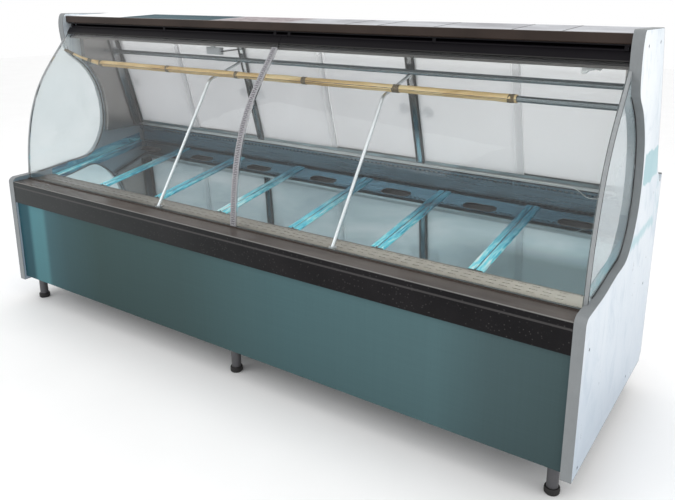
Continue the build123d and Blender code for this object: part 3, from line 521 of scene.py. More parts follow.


# -- stone sill: dusty film on the upper face, painted highlight along its front edge
def sill_material():
    s = Mat("stone_band_and_sill", 0.24, 0.0, Specular_IOR_Level=0.1)
    v = s.voronoi(420.0, s.coord())
    cloud = s.noise(5.0, s.coord(), 4)
    c = s.ramp(cloud, [(0.35, lin((18, 17, 19))), (0.7, lin((27, 25, 27)))])
    m1 = s.ramp(v.outputs["Distance"], [(0.0, (1, 1, 1, 1)), (0.12, (0, 0, 0, 1))])
    c = s.mix(s.math("MULTIPLY", m1, 0.6), c, lin((98, 104, 108)))
    v2 = s.voronoi(92.0, s.coord((1, 1, 1), (3, 2, 1)))
    m2 = s.ramp(v2.outputs["Distance"], [(0.0, (1, 1, 1, 1)), (0.2, (0, 0, 0, 1))])
    c = s.mix(s.math("MULTIPLY", m2, 0.5), c, lin((112, 110, 108)))
    xl = s.node("ShaderNodeMapRange")
    xl.inputs["From Min"].default_value = -1.22
    xl.inputs["From Max"].default_value = 0.3
    xl.inputs["To Min"].default_value = 0.36
    xl.inputs["To Max"].default_value = 0.0
    s.link(s.axis("X"), xl.inputs["Value"])
    c = s.mix(xl.outputs[0], c, lin((74, 80, 80)))
    # top face of the sill
    z = s.axis("Z")
    top = s.span(z, 0.5448, 0.60, 0.0008)
    film = s.noise(7.0, s.coord((0.25, 1, 1)), 4, 0.6)
    topc = s.ramp(film, [(0.35, lin((66, 60, 57))), (0.65, lin((92, 86, 82)))])
    # light strip along the front edge of the top face: painted highlight
    edge = s.span(s.axis("Y"), -0.402, -0.3935, 0.001)
    topc = s.mix(s.math("MULTIPLY", edge, 0.8), topc, lin((128, 128, 126)))
    c = s.mix(top, c, topc)
    # grey joint along the front edge of the sill
    seam = s.span(z, 0.5225, 0.5285, 0.0008)
    c = s.mix(s.math("MULTIPLY", seam, 0.55), c, lin((86, 84, 84)))
    s.colour(c)
    s.rough(cloud, 0.12, 0.3)
    s.normal(s.bump(cloud, 0.04, 0.0006))
    return s


M["sill"] = sill_material()


# -- mirror trays: bluish polished steel, slightly uneven; painted shade on the front of the right-hand trays and a darker painted reflection towards the rear
def tray_material():
    s = Mat("tray_mirror_steel", 0.06, 1.0)
    wav = s.noise(2.2, s.coord((1, 1, 1)), 2, 0.45, 0.2)
    dirt = s.noise(4.5, s.coord((0.6, 1, 1), (3, 1, 0)), 4, 0.55, 0.4)
    c = s.ramp(dirt, [(0.34, lin((164, 192, 199))), (0.5, lin((184, 209, 214))),
                      (0.68, lin((206, 224, 227)))])
    # painted shade over the front half of the right-hand trays
    shade = s.math("MULTIPLY", s.span(s.axis("X"), 0.80, 1.40, 0.12), s.span(s.axis("Y"), -0.40, -0.03, 0.05))
    c = s.mix(s.math("MULTIPLY", shade, 0.85), c, lin((90, 118, 122)))
    # darker bluish rear part: painted reflection of the air duct in the mirror steel
    painted_duct_reflection = s.node("ShaderNodeMapRange")
    painted_duct_reflection.inputs["From Min"].default_value = 0.06
    painted_duct_reflection.inputs["From Max"].default_value = 0.22
    s.link(s.axis("Y"), painted_duct_reflection.inputs["Value"])
    c = s.mix(s.math("MULTIPLY", painted_duct_reflection.outputs[0], 0.7), c, lin((112, 146, 158)))
    s.colour(c)
    s.rough(dirt, 0.02, 0.09)
    s.normal(s.bump(wav, 0.12, 0.006))
    return s


M["tray"] = tray_material()


def mirror_post():
    s = Mat("post_mirror_steel", 0.12, 1.0)
    z = s.axis("Z")
    n = s.noise(14.0, s.coord((1, 1, 0.25)), 5, 0.6, 1.2)
    steel = s.ramp(n, [(0.34, lin((62, 60, 60))), (0.5, lin((150, 150, 150))),
                       (0.7, lin((196, 198, 200)))])
    blue = s.ramp(n, [(0.36, lin((20, 38, 46))), (0.5, lin((52, 88, 100))),
                      (0.64, lin((158, 178, 184)))])
    f = s.node("ShaderNodeMapRange")
    f.inputs["From Min"].default_value = 0.93
    f.inputs["From Max"].default_value = 0.99
    s.link(z, f.inputs["Value"])
    s.colour(s.mix(f.outputs[0], blue, steel))
    s.rough(n, 0.06, 0.24)
    s.normal(s.bump(n, 0.3, 0.003))
    return s


M["post"] = mirror_post()
def deck_film(s, c):
    rise = s.math("MULTIPLY", s.math("ADD", s.axis("Y"), 0.207), 0.17)
    above = s.math("SUBTRACT", s.math("SUBTRACT", s.axis("Z"), 0.541), rise)
    turned = s.span(above, -0.02, 0.036, 0.002)
    turned = s.math("MULTIPLY", turned, s.span(s.axis("Y"), -0.21, 0.285, 0.002))
    turned = s.math("MULTIPLY", turned, s.span(s.math("ABSOLUTE", s.axis("X"), 0.0), 1.17, 1.2205, 0.0005))
    along = s.noise(24.0, s.coord((1, 0.2, 1)), 4, 0.6, 0.8)
    film = s.ramp(along, [(0.36, lin((10, 92, 128))), (0.5, lin((30, 160, 192))), (0.64, lin((120, 220, 236)))])
    return s.mix(s.math("MULTIPLY", turned, 0.9), c, film)


def tub_material():
    s = Mat("tub_lining", 0.32, 0.0)
    n = s.noise(14.0, s.coord(), 4)
    c = s.ramp(n, [(0.35, lin((216, 219, 221))), (0.65, lin((228, 231, 232)))])
    inner = s.math("MULTIPLY", s.span(s.math("ABSOLUTE", s.axis("X"), 0.0), 1.17, 1.2205, 0.0005),
                   s.span(s.axis("Z"), 0.53, 0.80, 0.01))
    c = s.mix(s.math("MULTIPLY", inner, 0.8), c, lin((112, 138, 152)))
    s.colour(deck_film(s, c))
    s.rough(n, 0.28, 0.38)
    s.normal(s.bump(n, 0.08, 0.0008))
    return s


M["tub"] = tub_material()


def cheek_material():
    s = Mat("cheek_steel", 0.22, 0.9)
    n = s.noise(5.0, s.coord(), 4, 0.55)
    up = s.ramp(n, [(0.35, lin((136, 133, 130))), (0.65, lin((158, 155, 152)))])
    low = s.ramp(n, [(0.35, lin((84, 112, 128))), (0.65, lin((116, 142, 156)))])
    f = s.node("ShaderNodeMapRange")
    f.inputs["From Min"].default_value = 0.735
    f.inputs["From Max"].default_value = 0.66
    s.link(s.axis("Z"), f.inputs["Value"])
    c = s.mix(f.outputs[0], up, low)
    c = deck_film(s, c)
    s.colour(c)
    fine = s.noise(180.0, s.coord((1, 1, 0.02)), 3)
    s.rough(fine, 0.16, 0.3)
    s.normal(s.bump(fine, 0.06, 0.0004))
    return s


M["cheek"] = cheek_material()
M["duct"] = brushed("duct_steel", (88, 108, 120), 0.28, "X", 0.1, 1.0, 220, 0.06)
M["rear_steel"] = brushed("rear_steel", (176, 180, 184), 0.3, "X", 0.06, 1.0, 260, 0.08)


def counter_material():
    s = Mat("counter_steel", 0.26, 0.9)
    n = s.noise(260.0, s.coord((0.012, 1, 1)), 3)
    n2 = s.noise(2.6, s.coord((0.5, 1, 1)), 4)
    steel = s.ramp(n2, [(0.3, lin((150, 152, 155))), (0.7, lin((186, 188, 191)))])
    teal = s.ramp(n2, [(0.3, lin((96, 132, 138))), (0.7, lin((128, 164, 170)))])
    x = s.axis("X")
    f = s.node("ShaderNodeMapRange")
    f.inputs["From Min"].default_value = 0.36
    f.inputs["From Max"].default_value = 0.44
    s.link(x, f.inputs["Value"])
    s.colour(s.mix(f.outputs[0], steel, teal))
    s.rough(n, 0.2, 0.34)
    s.normal(s.bump(n, 0.08, 0.0004))
    return s


M["counter"] = counter_material()


def grille_material():
    s = Mat("front_strip_steel", 0.4, 0.1)
    n = s.noise(240.0, s.coord((0.01, 1, 1)), 3)
    n2 = s.noise(3.4, s.coord((0.4, 1, 1)), 4, 0.6)
    c = s.ramp(n2, [(0.32, lin((186, 177, 164))), (0.52, lin((204, 196, 182))),
                    (0.7, lin((216, 210, 198)))])
    dull = s.node("ShaderNodeMapRange")
    dull.inputs["From Min"].default_value = -1.1
    dull.inputs["From Max"].default_value = 1.3
    dull.inputs["To Min"].default_value = 0.95
    dull.inputs["To Max"].default_value = 0.0
    s.link(s.axis("X"), dull.inputs["Value"])
    c = s.mix(dull.outputs[0], c, lin((100, 94, 88)))
    s.colour(c)
    s.rough(n, 0.28, 0.46)
    s.normal(s.bump(n, 0.12, 0.0004))
    return s


M["grille"] = grille_material()


# -- end panel skins: pale film over steel, scuffs and teal scraps of film; painted shade and a bluish painted reflection darken the lower part
def panel_material():
    s = Mat("end_panel_skin", 0.3, 0.35, Coat_Weight=0.2)
    s.b.inputs["Coat Roughness"].default_value = 0.2
    big = s.noise(2.4, s.coord((1, 1, 0.7)), 5, 0.6, 0.4)
    smear = s.noise(9.0, s.coord((1, 1.4, 0.6), (2, 0, 5)), 6, 0.7, 0.8)
    scr = s.noise(60.0, s.coord((1, 0.15, 2.2)), 4, 0.7, 1.5)
    c = s.ramp(big, [(0.3, lin((210, 222, 232))), (0.55, lin((236, 243, 248))),
                     (0.75, lin((250, 252, 254)))])
    sc = s.ramp(smear, [(0.52, (0, 0, 0, 1)), (0.68, (1, 1, 1, 1))])
    c = s.mix(s.math("MULTIPLY", sc, 0.5), c, lin((166, 188, 204)))
    fine = s.ramp(scr, [(0.62, (0, 0, 0, 1)), (0.72, (1, 1, 1, 1))])
    c = s.mix(s.math("MULTIPLY", fine, 0.3), c, lin((176, 182, 190)))
    y, z, x = s.axis("Y"), s.axis("Z"), s.axis("X")
    # darker, bluer towards the bottom: painted shade and bluish painted reflection
    painted_low_shade = s.node("ShaderNodeMapRange")
    painted_low_shade.inputs["From Min"].default_value = 0.1
    painted_low_shade.inputs["From Max"].default_value = 1.08
    painted_low_shade.inputs["To Min"].default_value = 0.9
    painted_low_shade.inputs["To Max"].default_value = 0.0
    s.link(z, painted_low_shade.inputs["Value"])
    c = s.mix(painted_low_shade.outputs[0], c, lin((166, 182, 198)))
    out = s.math("GREATER_THAN", x, 1.0)
    wob = s.math("MULTIPLY", s.math("SUBTRACT", smear, 0.5), 0.07)
    yy = s.math("ADD", y, wob)
    zz = s.math("ADD", z, wob)
    p1 = s.math("MULTIPLY", s.span(yy, 0.095, 0.30, 0.004), s.span(zz, 0.79, 0.885, 0.003))
    p2 = s.math("MULTIPLY", s.span(yy, 0.03, 0.34, 0.01), s.span(zz, 0.615, 0.645, 0.008))
    p3 = s.math("MULTIPLY", s.span(yy, 0.27, 0.41, 0.01), s.span(zz, 0.66, 0.93, 0.02))
    p3 = s.math("MULTIPLY", p3, sc)
    p = s.math("MAXIMUM", s.math("MAXIMUM", p1, s.math("MULTIPLY", p2, 0.8)), s.math("MULTIPLY", p3, 0.7))
    p = s.math("MULTIPLY", p, out)
    c = s.mix(p, c, lin((142, 190, 200)))
    inside = s.math("MULTIPLY", s.math("LESS_THAN", s.math("ABSOLUTE", x, 0.0), 1.2202),
                    s.span(z, 0.53, 0.80, 0.01))
    c = s.mix(s.math("MULTIPLY", inside, 0.8), c, lin((112, 138, 152)))
    c = deck_film(s, c)
    s.colour(c)
    s.rough(smear, 0.2, 0.42)
    nb = s.bump(scr, 0.06, 0.0006)
    s.normal(s.bump(big, 0.2, 0.004, nb))
    return s


M["panel"] = panel_material()


# -- top cover: pale steel, left part still in its film
def top_material():
    s = Mat("top_cover_skin", 0.6, 0.0, Specular_IOR_Level=0.05)
    n = s.noise(5.0, s.coord((0.5, 1, 1)), 5, 0.6, 0.5)
    n2 = s.noise(70.0, s.coord((0.3, 1, 1)), 4, 0.7, 1.0)
    steel = s.ramp(n, [(0.3, lin((150, 150, 154))), (0.55, lin((186, 188, 192))),
                       (0.75, lin((206, 210, 214)))])
    teal = s.ramp(n, [(0.3, lin((44, 64, 72))), (0.7, lin((78, 102, 110)))])
    pink = s.ramp(n2, [(0.4, lin((128, 118, 120))), (0.65, lin((186, 178, 180)))])
    x = s.axis("X")
    c = s.mix(s.span(x, -0.33, 0.02, 0.03), steel, pink)
    c = s.mix(s.span(x, -0.88, -0.345, 0.003), c, teal)
    s.colour(c)
    s.rough(n2, 0.5, 0.75)
    s.normal(s.bump(n2, 0.12, 0.0008))
    return s


M["top"] = top_material()


# -- kraft paper sleeve
def kraft_material():
    s = Mat("kraft_sleeve_paper", 0.62, 0.0)
    fib = s.noise(420.0, s.coord((0.25, 1, 1)), 4, 0.7)
    cl = s.noise(16.0, s.coord((0.25, 1, 1)), 5, 0.6, 0.8)
    c = s.ramp(cl, [(0.34, lin((196, 158, 96))), (0.5, lin((228, 196, 138))),
                    (0.68, lin((248, 226, 178)))])
    s.colour(c)
    nb = s.bump(fib, 0.18, 0.0004)
    s.normal(s.bump(cl, 0.35, 0.002, nb))
    s.rough(fib, 0.5, 0.75)
    return s


M["kraft"] = kraft_material()


def fin_material(name, axis, pitch, rgb=(190, 194, 197)):
    s = Mat(name, 0.32, 1.0)
    w = s.node("ShaderNodeTexWave", wave_type="BANDS", bands_direction=axis)
    w.inputs["Scale"].default_value = 1.0 / pitch / 6.283 * 3.14
    w.inputs["Distortion"].default_value = 0.0
    s.link(s.coord(), w.inputs["Vector"])
    base = lin(rgb)
    # dark bands between the fins: painted shade in the gaps
    dark = tuple(v * 0.18 for v in base[:3]) + (1,)
    s.colour(s.ramp(w.outputs["Fac"], [(0.25, dark), (0.6, base)]))
    n = s.noise(60.0, s.coord(), 3)
    s.rough(n, 0.25, 0.42)
    s.normal(s.bump(w.outputs["Fac"], 0.5, 0.001))
    return s


M["fins"] = fin_material("coil_fins", "X", 0.004)

NODE_MAT = {
    "base_frame": "galv", "canopy_frame": "canopy_white_and_painted_lamp_light", "compressor": "machine",
    "condenser": "fins", "condenser_fan": "fan", "control_box": "control",
    "door_tracks": "alu", "drain_pipe": "white_pvc", "edge_bands": "edge_band",
    "end_panel_left": "panel", "end_panel_right": "panel", "evaporator": "fins",
    "evaporator_fan_left": "fan", "evaporator_fan_right": "fan",
    "front_glass_left": "pane", "front_glass_right": "pane",
    "front_grille": "grille", "front_panel": "front_panel",
    "glass_clamp_left": "clamp_black", "glass_clamp_right": "clamp_black",
    "glass_hinge_rail": "clamp_black", "glass_joint_profile": "rib_plastic",
    "glass_seal": "seal", "hang_rails": "rail", "inner_cheeks": "cheek",
    "insulated_tub": "tub", "lamp": "lamp", "lamp_holders": "white_pvc",
    "leg_feet": "rubber", "leg_tubes": "leg_grey", "light_switch": "red_lens",
    "panel_screws": "screw", "rail_sleeves": "kraft", "rear_air_duct": "duct",
    "rear_counter": "counter", "rear_panels": "rear_steel", "rear_posts": "post",
    "side_glass": "side_pane", "side_glass_frames": "slim_frame",
    "stone_band": "sill", "support_rods": "chrome", "thermostat_knob": "control",
    "top_cover": "top", "top_fascia": "fascia", "tray_rails": "galv",
    "valance": "black_sheet", "valance_lip": "alu_dark",
}
for i in range(1, 8):
    NODE_MAT["tray_%d" % i] = "tray"
for i in range(1, 7):
    NODE_MAT["rear_door_%d" % i] = "rear_pane"

for name, ob in NODES.items():
    m = M[NODE_MAT[name]].m
    if len(ob.material_slots) == 0:
        ob.data.materials.append(m)
    else:
        for s in ob.material_slots:
            s.material = m


# ---------------------------------------------------------------------------
# Geometry tools (metres, row frame; profile depths are millimetres from the
# front face, heights millimetres)
# ---------------------------------------------------------------------------
def Y(depth_mm):
    return (depth_mm - 400.0) / 1000.0


def Z(mm):
    return mm / 1000.0


def finish_piece(ob, body, mat):
    ob.data.materials.clear()
    ob.data.materials.append(M[mat].m)
    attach(ob, body)
    return ob


def mesh_object(name, verts, faces, smooth=False):
    me = bpy.data.meshes.new(name)
    me.from_pydata([tuple(v) for v in verts], [], faces)
    me.validate()
    me.update()
    bm = bmesh.new()
    bm.from_mesh(me)
    bmesh.ops.recalc_face_normals(bm, faces=bm.faces)
    bm.to_mesh(me)
    bm.free()
    if smooth:
        for p in me.polygons:
            p.use_smooth = True
    ob = bpy.data.objects.new(name, me)
    scene.collection.objects.link(ob)
    return ob


def bevelled(ob, width, segments=2, angle=30):
    b = ob.modifiers.new("bevel", "BEVEL")
    b.width = width
    b.segments = segments
    b.limit_method = "ANGLE"
    b.angle_limit = math.radians(angle)
    return ob


class Build:
    """Collects boxes, prisms and tubes into one mesh."""

    def __init__(self):
        self.v, self.f = [], []

    def add(self, verts, faces):
        o = len(self.v)
        self.v += [tuple(p) for p in verts]
        self.f += [tuple(o + i for i in f) for f in faces]

    def box(self, x0, x1, y0, y1, z0, z1):
        self.add([(x0, y0, z0), (x1, y0, z0), (x1, y1, z0), (x0, y1, z0),
                  (x0, y0, z1), (x1, y0, z1), (x1, y1, z1), (x0, y1, z1)],
                 [(0, 3, 2, 1), (4, 5, 6, 7), (0, 1, 5, 4), (1, 2, 6, 5),
                  (2, 3, 7, 6), (3, 0, 4, 7)])

    def prism(self, ring, x0, x1):
        """ring: (y, z) points, extruded along X."""
        n = len(ring)
        vs = [(x0, y, z) for y, z in ring] + [(x1, y, z) for y, z in ring]
        fs = [tuple(range(n - 1, -1, -1)), tuple(range(n, 2 * n))]
        fs += [(i, (i + 1) % n, n + (i + 1) % n, n + i) for i in range(n)]
        self.add(vs, fs)

    def loft(self, rings, close=True, caps=True):
        n = len(rings[0])
        vs = [p for ring in rings for p in ring]
        fs = []
        for a in range(len(rings) - 1):
            for i in range(n if close else n - 1):
                j = (i + 1) % n
                fs.append((a * n + i, a * n + j, (a + 1) * n + j, (a + 1) * n + i))
        if caps and close:
            fs.append(tuple(range(n - 1, -1, -1)))
            fs.append(tuple(range((len(rings) - 1) * n, len(rings) * n)))
        self.add(vs, fs)

    def tube(self, path, radius, n=12, caps=True):
        path = [Vector(p) for p in path]
        rings = []
        last = None
        for i, p in enumerate(path):
            a = path[max(i - 1, 0)]
            b = path[min(i + 1, len(path) - 1)]
            t = (b - a).normalized()
            if last is None:
                ref = Vector((0, 0, 1)) if abs(t.z) < 0.9 else Vector((1, 0, 0))
                e = t.cross(ref).normalized()
            else:
                e = (last - t * last.dot(t)).normalized()
            last = e
            g = t.cross(e)
            r = radius[i] if isinstance(radius, (list, tuple)) else radius
            rings.append([p + (e * math.cos(k * 2 * math.pi / n)
                               + g * math.sin(k * 2 * math.pi / n)) * r
                          for k in range(n)])
        self.loft(rings, True, caps)

    def disc(self, centre, axis, profile, n=28):
        """Turned piece: profile is (radius, along axis) points from the outer
        start to the axis end."""
        c = Vector(centre)
        t = Vector(axis).normalized()
        ref = Vector((0, 0, 1)) if abs(t.z) < 0.9 else Vector((1, 0, 0))
        e = t.cross(ref).normalized()
        g = t.cross(e)
        rings = []
        for r, a in profile:
            r = max(r, 1e-5)
            rings.append([c + t * a + (e * math.cos(k * 2 * math.pi / n)
                                       + g * math.sin(k * 2 * math.pi / n)) * r
                          for k in range(n)])
        self.loft(rings, True, True)

    def make(self, name, smooth=False):
        return mesh_object(name, self.v, self.f, smooth)


def smooth_by_angle(ob, deg=35):
    me = ob.data
    for p in me.polygons:
        p.use_smooth = True
    bm = bmesh.new()
    bm.from_mesh(me)
    lim = math.radians(deg)
    for e in bm.edges:
        if len(e.link_faces) == 2:
            e.smooth = e.calc_face_angle(0) < lim
        else:
            e.smooth = False
    bm.to_mesh(me)
    bm.free()
    return ob


GLASS_CURVE = [(77, 552), (81, 598), (86, 650), (93, 702), (103, 755), (116, 810),
               (134, 865), (156, 918), (184, 969), (218, 1019), (255, 1067),
               (290, 1110), (322, 1151), (346, 1186)]


def catmull(points, steps=6):
    out = []
    n = len(points)
    for i in range(n - 1):
        p0 = points[max(i - 1, 0)]
        p1, p2 = points[i], points[i + 1]
        p3 = points[min(i + 2, n - 1)]
        for k in range(steps):
            t = k / steps
            out.append(tuple(
                0.5 * ((2 * p1[j]) + (-p0[j] + p2[j]) * t
                       + (2 * p0[j] - 5 * p1[j] + 4 * p2[j] - p3[j]) * t * t
                       + (-p0[j] + 3 * p1[j] - 3 * p2[j] + p3[j]) * t ** 3)
                for j in range(2)))
    out.append(points[-1])
    return out


CURVE = catmull(GLASS_CURVE, 8)


def off_curve(points, d):
    out = []
    for i, (y, z) in enumerate(points):
        a = points[max(i - 1, 0)]
        b = points[min(i + 1, len(points) - 1)]
        ty, tz = b[0] - a[0], b[1] - a[1]
        n = math.hypot(ty, tz)
        out.append((y + d * tz / n, z - d * ty / n))
    return out


LEAN = math.atan2(447.0, -123.0)


def lean(s, t):
    cy, cz = math.cos(LEAN), math.sin(LEAN)
    return (698.0 + s * cy + t * cz, 718.0 + s * cz - t * cy)


SLOPE = math.radians(9.65)
TRAY_PITCH, TRAY_W, TRAY_L = 346.3, 343.8, 488.0


def on_tray(i, u, v, w):
    """Point on tray i (1-7): u across from the centre, v up the slope, w above
    the plate, all in millimetres."""
    xc = (i - 4) * TRAY_PITCH
    y = 193.0 + v * math.cos(SLOPE) - w * math.sin(SLOPE)
    z = 541.0 + v * math.sin(SLOPE) + w * math.cos(SLOPE)
    return Vector(((xc + u) / 1000.0, Y(y), Z(z)))


# ---------------------------------------------------------------------------
# Trays: film strips on the ribs, rolled rim round the finger slot
# ---------------------------------------------------------------------------
for i in range(1, 8):
    b = Build()
    for side in (-1, 1):
        n_v, n_u = 46, 5
        rng = random.Random(100 + i * 2 + side)
        ph = rng.uniform(0, 6)
        rings = []
        for a in range(n_v + 1):
            t = a / n_v
            v = 2.0 + t * (TRAY_L - 4.0)
            top = []
            for c in range(n_u + 1):
                u = 149.6 + (c / n_u) * 21.9
                w = 4.05 + 0.28 * (1 + math.sin(t * 31 + ph + c * 1.3)) \
                    + 0.25 * (1 + math.sin(t * 73 + c * 2.1 + ph * 2))
                if c in (0, n_u):
                    w = 4.02
                top.append((side * u, v, w))
            low = [(top[-1][0], v, 4.0), (top[0][0], v, 4.0)]
            ring = [on_tray(i, *p) for p in top + low]
            rings.append(ring)
        b.loft(rings, True, True)
        # film hangs over the inner side of the rib
        rings = []
        for a in range(n_v + 1):
            t = a / n_v
            v = 2.0 + t * (TRAY_L - 4.0)
            bulge = 0.35 * (1 + math.sin(t * 47 + ph))
            ring = [on_tray(i, side * (149.75), v, 4.0),
                    on_tray(i, side * (149.0 - bulge), v, 2.2),
                    on_tray(i, side * (147.2 - bulge * 2), v, 0.25),
                    on_tray(i, side * (147.0 - bulge * 2), v, 0.1),
                    on_tray(i, side * (149.9), v, 0.1)]
            rings.append(ring)
        b.loft(rings, True, True)
    ob = b.make("tray_%d_rib_film" % i)
    smooth_by_angle(ob, 50)
    finish_piece(ob, "tray_%d" % i, "film_rib")

    # rolled rim round the finger slot
    b = Build()
    path = []
    r_end, half = 23.0, 39.0
    v0 = TRAY_L - 74.0
    for k in range(13):
        a = -math.pi / 2 + math.pi * k / 12
        path.append((half + r_end * math.cos(a), v0 + r_end * math.sin(a)))
    for k in range(13):
        a = math.pi / 2 + math.pi * k / 12
        path.append((-half + r_end * math.cos(a), v0 + r_end * math.sin(a)))
    rings = []
    n = len(path)
    for k in range(n + 1):
        u, v = path[k % n]
        pu, pv = path[(k - 1) % n]
        nu, nv = path[(k + 1) % n]
        tu, tv = nu - pu, nv - pv
        ln = math.hypot(tu, tv)
        ou, ov = tv / ln, -tu / ln
        rings.append([on_tray(i, u + ou * (0.1 + 1.3 * math.cos(q)), v + ov * (0.1 + 1.3 * math.cos(q)),
                              -0.2 + 1.2 * math.sin(q))
                      for q in [j * 2 * math.pi / 8 for j in range(8)]])
    b.loft(rings, True, False)
    ob = b.make("tray_%d_slot_rim" % i, True)
    finish_piece(ob, "tray_%d" % i, "alu_dark")

# ---------------------------------------------------------------------------
# Front panes: polished edges, joint profile ribs
# ---------------------------------------------------------------------------
for side, x_edge in (("left", -1.2162), ("right", 1.2162)):
    b = Build()
    outer = off_curve(CURVE, -0.1)
    inner = off_curve(CURVE, 6.1)
    s = -1 if side == "left" else 1
    rings = []
    for (ya, za), (yb, zb) in zip(outer, inner):
        rings.append([(x_edge - s * 0.0001, Y(ya), Z(za)), (x_edge + s * 0.0009, Y(ya + 0.6), Z(za)),
                      (x_edge + s * 0.0009, Y(yb - 0.6), Z(zb)), (x_edge - s * 0.0001, Y(yb), Z(zb))])
    b.loft(rings, True, True)
    ob = b.make("pane_edge_" + side)
    smooth_by_angle(ob, 40)
    finish_piece(ob, "front_" + side, "pane_edge")

# rounded foot edge of both panes, where they stand on the seal
for side, (x0, x1) in (("left", (-1.2155, 0.0095)), ("right", (0.0135, 1.2155))):
    b = Build()
    b.prism([(Y(76.8), Z(551.2)), (Y(83.4), Z(550.9)), (Y(83.4), Z(552.2)), (Y(76.8), Z(552.6))], x0, x1)
    ob = b.make("pane_foot_" + side)
    bevelled(ob, 0.0004, 2)
    finish_piece(ob, "front_" + side, "pane_edge")

# small slanted teeth along the joint profile
b = Build()
prof = off_curve(catmull(GLASS_CURVE[:-1], 20), -2.4)
prof2 = off_curve(catmull(GLASS_CURVE[:-1], 20), -3.1)
step = 3
for k in range(4, len(prof) - 5, step):
    ya, za = prof[k]
    yb, zb = prof[k + 1]
    yc, zc = prof2[k]
    yd, zd = prof2[k + 1]
    x0, x1 = -0.0085, 0.0075
    sh = 2
    ye, ze = prof[min(k + sh, len(prof) - 1)]
    yf, zf = prof[min(k + sh + 1, len(prof) - 1)]
    yg, painted_low_shade = prof2[min(k + sh, len(prof) - 1)]
    yh, zh = prof2[min(k + sh + 1, len(prof) - 1)]
    b.add([(x0, Y(ya), Z(za)), (x0, Y(yb), Z(zb)), (x0, Y(yd), Z(zd)), (x0, Y(yc), Z(zc)),
           (x1, Y(ye), Z(ze)), (x1, Y(yf), Z(zf)), (x1, Y(yh), Z(zh)), (x1, Y(yg), Z(painted_low_shade))],
          [(0, 1, 2, 3), (7, 6, 5, 4), (0, 4, 5, 1), (1, 5, 6, 2), (2, 6, 7, 3), (3, 7, 4, 0)])
ob = b.make("joint_profile_teeth")
finish_piece(ob, "front_left", "rib_tooth")
# raised beads on both borders of the profile
b = Build()
for x in (-0.0118, 0.0108):
    path = [(x, Y(y), Z(z)) for y, z in off_curve(catmull(GLASS_CURVE[:-1], 6), -2.5)]
    b.tube(path, 0.0009, 8)
ob = b.make("joint_profile_beads", True)
finish_piece(ob, "front_left", "rib_plastic")

# glazing gasket between clamp and pane
for side, (x0, x1) in (("left", (-1.2155, 0.0095)), ("right", (0.0135, 1.2155))):
    cy, cz = Y(351.5), Z(1193.5)
    ty, tz = GLASS_CURVE[-2][0] - 351.5, GLASS_CURVE[-2][1] - 1193.5
    n = math.hypot(ty, tz)
    ty, tz = ty / n, tz / n

    def cl(u, w):
        # u down the glass, w across
        return (Y(351.5 + u * ty - w * tz), Z(1193.5 + u * tz + w * ty))
    b = Build()
    b.prism([cl(33.0, -3.2), cl(36.5, -1.8), cl(36.5, -0.4), cl(33.0, -0.4)], x0, x1)
    b.prism([cl(33.0, 9.4), cl(36.5, 8.0), cl(36.5, 6.6), cl(33.0, 6.6)], x0, x1)
    ob = b.make("clamp_gasket_" + side)
    bevelled(ob, 0.0005, 2)
    finish_piece(ob, "front_" + side, "rubber")

# ---------------------------------------------------------------------------
# Side windows: gasket beads along the frame and the panel edge
# ---------------------------------------------------------------------------
PANEL_EDGE = [(125, 566.5), (210, 575), (300, 587), (392, 600), (434, 637), (466, 692),
              (482, 749), (484.5, 810), (478, 866), (464, 922), (442, 966), (411, 1010),
              (374, 1044), (340, 1072)]
edge_line = catmull(PANEL_EDGE, 6)
b = Build()
for x in (-1.2269, -1.2183, 1.2183, 1.2269):
    b.tube([(x, Y(y), Z(z)) for y, z in off_curve(edge_line, -2.0)], 0.0014, 8)
ob = b.make("window_gasket_panel_side", True)
finish_piece(ob, "cabinet", "rubber")
b = Build()
for x in (-1.2268, 1.2268):
    b.tube([(x, Y(y), Z(z)) for y, z in off_curve(CURVE[3:-14], 10.4)], 0.0011, 8)
ob = b.make("window_gasket_frame_side", True)
finish_piece(ob, "cabinet", "rubber")

# leaning seals with a polished strip between them, on the inner cheeks
b = Build()
b2 = Build()
for sg in (-1, 1):
    for t0, t1 in ((-24, -15), (-66, -57)):
        ring = [lean(5, t0), lean(443, t0), lean(443, t1), lean(5, t1)]
        xa, xb = sorted((sg * 1.1939, sg * 1.1905))
        b.prism([(Y(p[0]), Z(p[1])) for p in ring], xa, xb)
        for k in range(54):
            s0 = 8 + k * 8.0
            r2 = [lean(s0, t0 + 2), lean(s0 + 3, t0 + 2), lean(s0 + 3, t1 - 2), lean(s0, t1 - 2)]
            xa, xb = sorted((sg * 1.1905, sg * 1.1899))
            b2.prism([(Y(p[0]), Z(p[1])) for p in r2], xa, xb)
ob = b.make("cheek_seals")
bevelled(ob, 0.0006, 2)
finish_piece(ob, "cabinet", "rubber")
ob = b2.make("cheek_seal_ribs")
finish_piece(ob, "cabinet", "alu_dark")
b = Build()
for sg in (-1, 1):
    ring = [lean(5, -55), lean(443, -55), lean(443, -26), lean(5, -26)]
    xa, xb = sorted((sg * 1.1939, sg * 1.1918))
    b.prism([(Y(p[0]), Z(p[1])) for p in ring], xa, xb)
ob = b.make("cheek_polished_strips")
bevelled(ob, 0.0006, 2)
finish_piece(ob, "cabinet", "post")

# ---------------------------------------------------------------------------
# Cover screws: domed heads with dark crosses painted as the shaded cross recess
# ---------------------------------------------------------------------------
SCREW_AT = [(56, 458), (685, 421), (572, 132), (49, 113), (378, 1205), (531, 1210)]
b = Build()
for s in (-1, 1):
    for y, z in SCREW_AT:
        c = (s * 1.2475, Y(y), Z(z))
        b.disc(c, (s, 0, 0), [(0.0048, -0.0001), (0.005, 0.0006), (0.0047, 0.0013),
                              (0.0036, 0.0019), (0.002, 0.0022), (0.0006, 0.0023)], 24)
ob = b.make("panel_screw_heads")
smooth_by_angle(ob, 60)
finish_piece(ob, "cabinet", "screw")
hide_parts("panel_screws")
